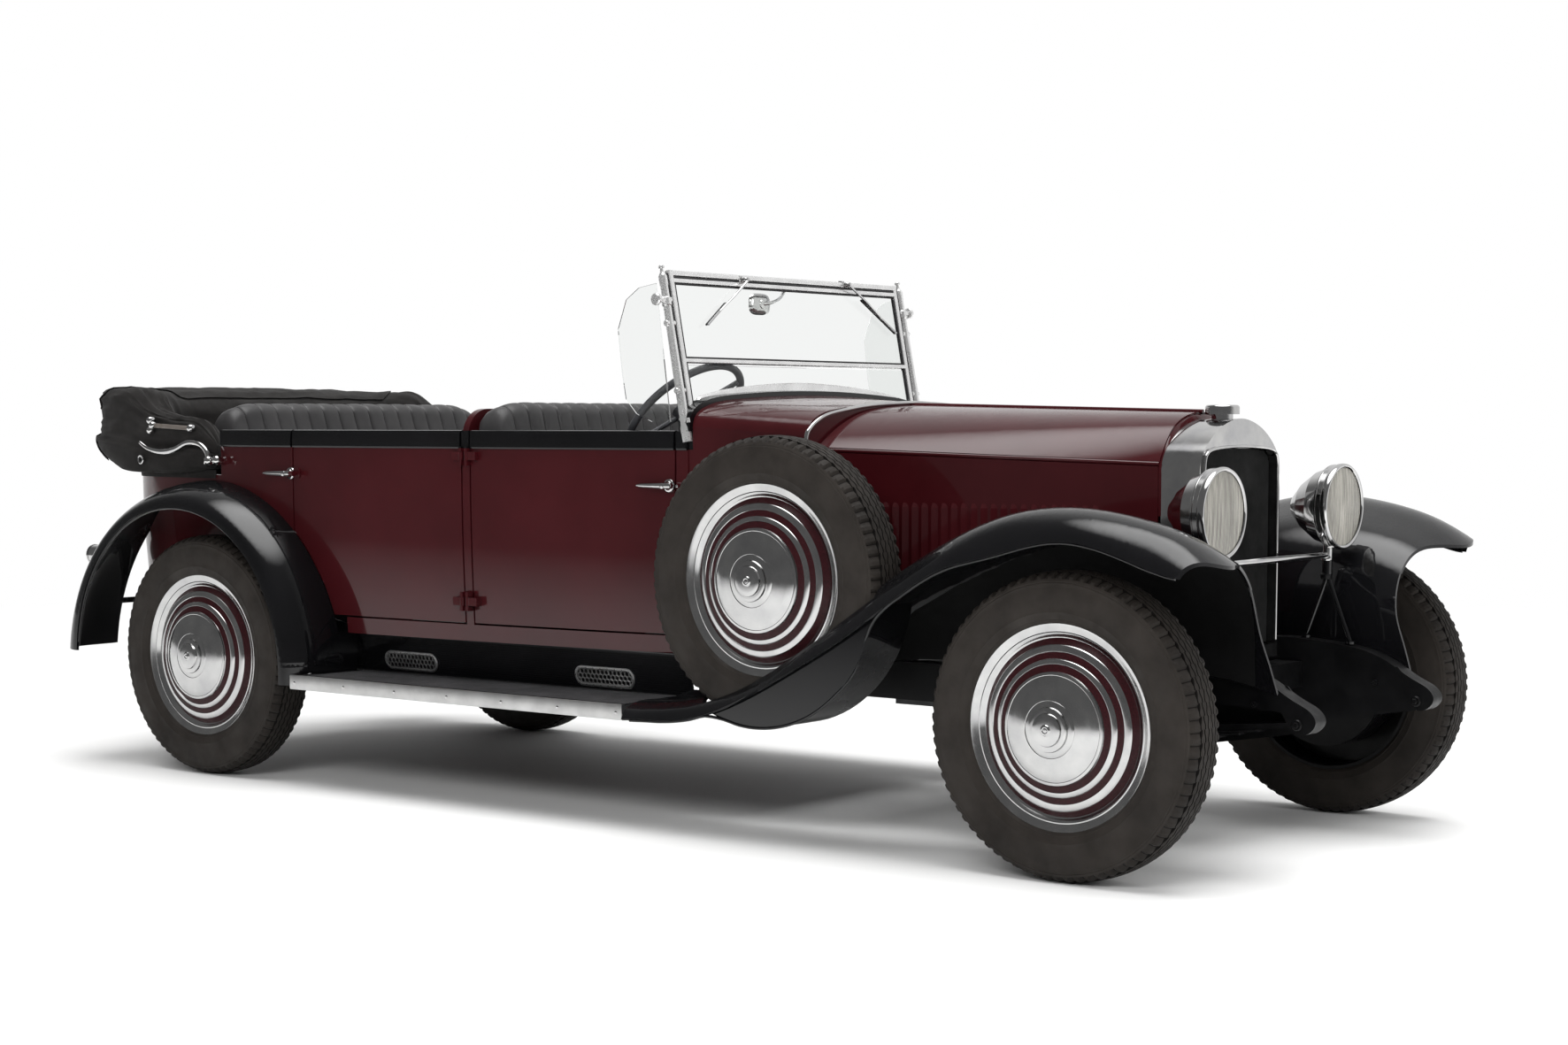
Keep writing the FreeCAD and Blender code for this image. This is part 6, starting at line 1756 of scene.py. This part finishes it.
def doorTrim(side, sign):
    spec = trimSpec
    door = "door_front_" + side
    low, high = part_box(door)
    inset, footIn = spec["inset"]
    columns, levels = spec["steps"]
    rows = [[fromMiddle(door, x, z, sign) for z in spread(low.z + footIn, high.z - spec["topIn"], levels)]
            for x in spread(low.x + inset, high.x - inset, columns)]
    liner("trim_" + door, rows, door, "leather", "blackLeather", spec["proud"], Vector((0, -sign, 0)))


def quarterTrim(side, sign):
    # also closes the wheel's arch from inside, where the panel goes straight down from the wall over it
    spec = trimSpec
    low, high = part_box("door_rear_" + side)
    gap, length, drop = spec["quarter"]
    columns, levels = spec["steps"]
    rows = []
    for x in spread(low.x - gap - length, low.x - gap, columns):
        row = []
        for z in spread(high.z - drop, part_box("rear_seat")[0].z + spec["quarterFoot"], levels):
            hit = fromMiddle("body_tub", x, z, sign)
            row.append(Vector((x, row[-1].y if hit is None else hit.y, z)))
        rows.append(row[::-1])
    inwards = Vector((0, -sign, 0))
    liner("trim_quarter_" + side, rows, "chassis", "leather", "blackLeather", spec["proud"], inwards)


def floorCarpet(name, start, end):
    half, thick, above = trimSpec["carpet"]
    columns, across = trimSpec["carpetSteps"]
    rows = [[hitOn("body_tub", Vector((x, y, above)), -upward) for y in spread(-half, half, across)]
            for x in spread(start, end, columns)]
    liner(name, rows, "chassis", "hood_cloth", "carpet", thick, upward)


for side, sign in sideSigns.items():
    doorTrim(side, sign)
    quarterTrim(side, sign)
seatFront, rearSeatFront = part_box("front_seat")[1].x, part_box("rear_seat")[1].x
gap = trimSpec["carpetIn"]
floorCarpet("carpet_front", seatFront + gap, seatFront + trimSpec["carpetLong"])
floorCarpet("carpet_rear", rearSeatFront + gap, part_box("seat_back_panel")[0].x - gap)
tell("inside trim")


# Front leaf springs: the leaves that show as steps under the rails

springSpec = {
    "leaves": 7,
    "thick": 0.0062,
    "half": 0.0255,
    "shorter": 0.056,
    "ends": (0.395, -0.420),
    "y": 0.366,
    "steps": 12,
    "clear": 0.050,     # kept free on both sides of the axle
}


def frontSprings(side, sign):
    spec = springSpec
    half, thick = spec["half"], spec["thick"]
    front, back = spec["ends"]
    y = sign * spec["y"]
    shell = Shell()
    for leaf in range(1, spec["leaves"]):
        rows = []
        for ahead in spread(front - spec["shorter"] * leaf, back + spec["shorter"] * leaf, spec["steps"]):
            under = hitOn("leaf_springs", Vector((axleX + ahead, y, 0.30)), upward)
            if under is not None and abs(ahead) > spec["clear"]:
                top = under.z - thick * (leaf - 1) - 0.0004
                foot = top - thick * 0.86
                rows.append([Vector((axleX + ahead, y + off, z)) for off, z in
                             ((-half, top), (half, top), (half - 0.002, foot), (-half + 0.002, foot))])
        for part in ([row for row in rows if row[0].x > axleX], [row for row in rows if row[0].x < axleX]):
            if len(part) > 1:
                shell.solid(part, "gearBlack")
    shell.piece("spring_leaves_" + side, "chassis", "spring_steel", 30.0)


eachSide("springs", frontSprings)


# Floor and soft studio light

studio = {
    "floorSize": 160.0,
    "floorTone": (0.80, 0.80, 0.795),
    "fadeStart": 3.4,   # the floor turns to plain white from here
    "fadeEnd": 9.5,     # to here, measured from the car's middle
    "dim": 0.14,        # what the dark side of the studio gives
    "behind": 0.80,     # and the bright side, beyond the car
    "overhead": 6.2,    # soft box above the car
    "dimStart": -3.2,   # gloss sees the floor darken from here
    "dimEnd": -7.5,     # to here, on the camera's side
    "horizon": (-0.10, 0.55),   # the dim side turns to the bright one between these directions
    "softBox": (0.84, 0.98),
    "lights": {"topLight": ((0, 0, 5.5), (0, 0, 0), 8.0, 4.0, 60.0),
               "keyLight": ((3.0, -6.5, 4.2), (0, 0, 0.8), 4.0, 2.0, 260.0),
               "frontLight": ((7.5, -1.5, 3.0), (1.5, 0, 0.8), 2.5, 2.5, 110.0)},   # place, aim, sizes, power
}


def makeFloor(spec):
    mesh = bpy.data.meshes.new("floor")
    half = spec["floorSize"] / 2
    corners = [(-half, -half, 0), (half, -half, 0), (half, half, 0), (-half, half, 0)]
    mesh.from_pydata(corners, [], [(0, 1, 2, 3)])
    floor = bpy.data.objects.new("floor", mesh)
    scene.collection.objects.link(floor)
    s = Shader("floorPaper", roughness=0.7, specular=0.2)
    light = tuple(value * 1.03 for value in spec["floorTone"])
    paper = s.finish(s.ramp(s.noise(0.4), 0.3, spec["floorTone"], 0.7, light))
    far = s.node("VectorMath", s.place(), operation="LENGTH").outputs["Value"]
    fade = s.remap(far, 0.0, 1.0, spec["fadeStart"], spec["fadeEnd"])
    nearSide = s.remap(s.axis("Y"), 0.0, 1.0, spec["dimStart"], spec["dimEnd"])
    surface = s.surface.outputs["BSDF"]
    seen = s.anyRay("Is Camera Ray", "Is Glossy Ray", "Is Transmission Ray")
    for share, ray, strength in ((fade, seen, 1.0),
                                 (nearSide, s.anyRay("Is Glossy Ray"), spec["dim"])):
        glow = s.node("Emission", Strength=strength).outputs["Emission"]
        surface = s.node("MixShader", s.math("MULTIPLY", share, ray), surface, glow).outputs["Shader"]
    s.join(surface, s.tree.nodes["Material Output"].inputs["Surface"])
    mesh.materials.append(paper)


def makeWorld(spec):
    # white behind the car and overhead, dim on the side that the car shows
    world = bpy.data.worlds.new("studioWorld")
    scene.world = world
    world.use_nodes = True
    w = Nodes(world.node_tree)
    parts = w.node("SeparateXYZ", w.node("TexCoord").outputs["Generated"]).outputs
    behindCar = w.remap(parts["Y"], spec["dim"], spec["behind"], *spec["horizon"], "SMOOTHSTEP")
    overhead = w.remap(parts["Z"], 0.0, spec["overhead"], *spec["softBox"], "SMOOTHSTEP")
    seen = w.anyRay("Is Camera Ray", "Is Transmission Ray")
    background = world.node_tree.nodes["Background"]
    w.join(w.math("MAXIMUM", w.math("MAXIMUM", behindCar, overhead), seen), background.inputs["Strength"])
    background.inputs["Color"].default_value = (1, 1, 1, 1)


def areaLight(name, place, target, width, height, power):
    data = bpy.data.lights.new(name, "AREA")
    data.shape = "RECTANGLE"
    data.size = width
    data.size_y = height
    data.energy = power
    lamp = bpy.data.objects.new(name, data)
    lamp.visible_glossy = False   # gloss and bright metal show the studio, not the lamp's square
    scene.collection.objects.link(lamp)
    lamp.location = place
    lamp.rotation_euler = (Vector(target) - Vector(place)).to_track_quat("-Z", "Y").to_euler()


makeFloor(studio)
makeWorld(studio)
for name, values in studio["lights"].items():
    areaLight(name, *values)
scene.view_settings.view_transform = "Standard"
tell("studio")
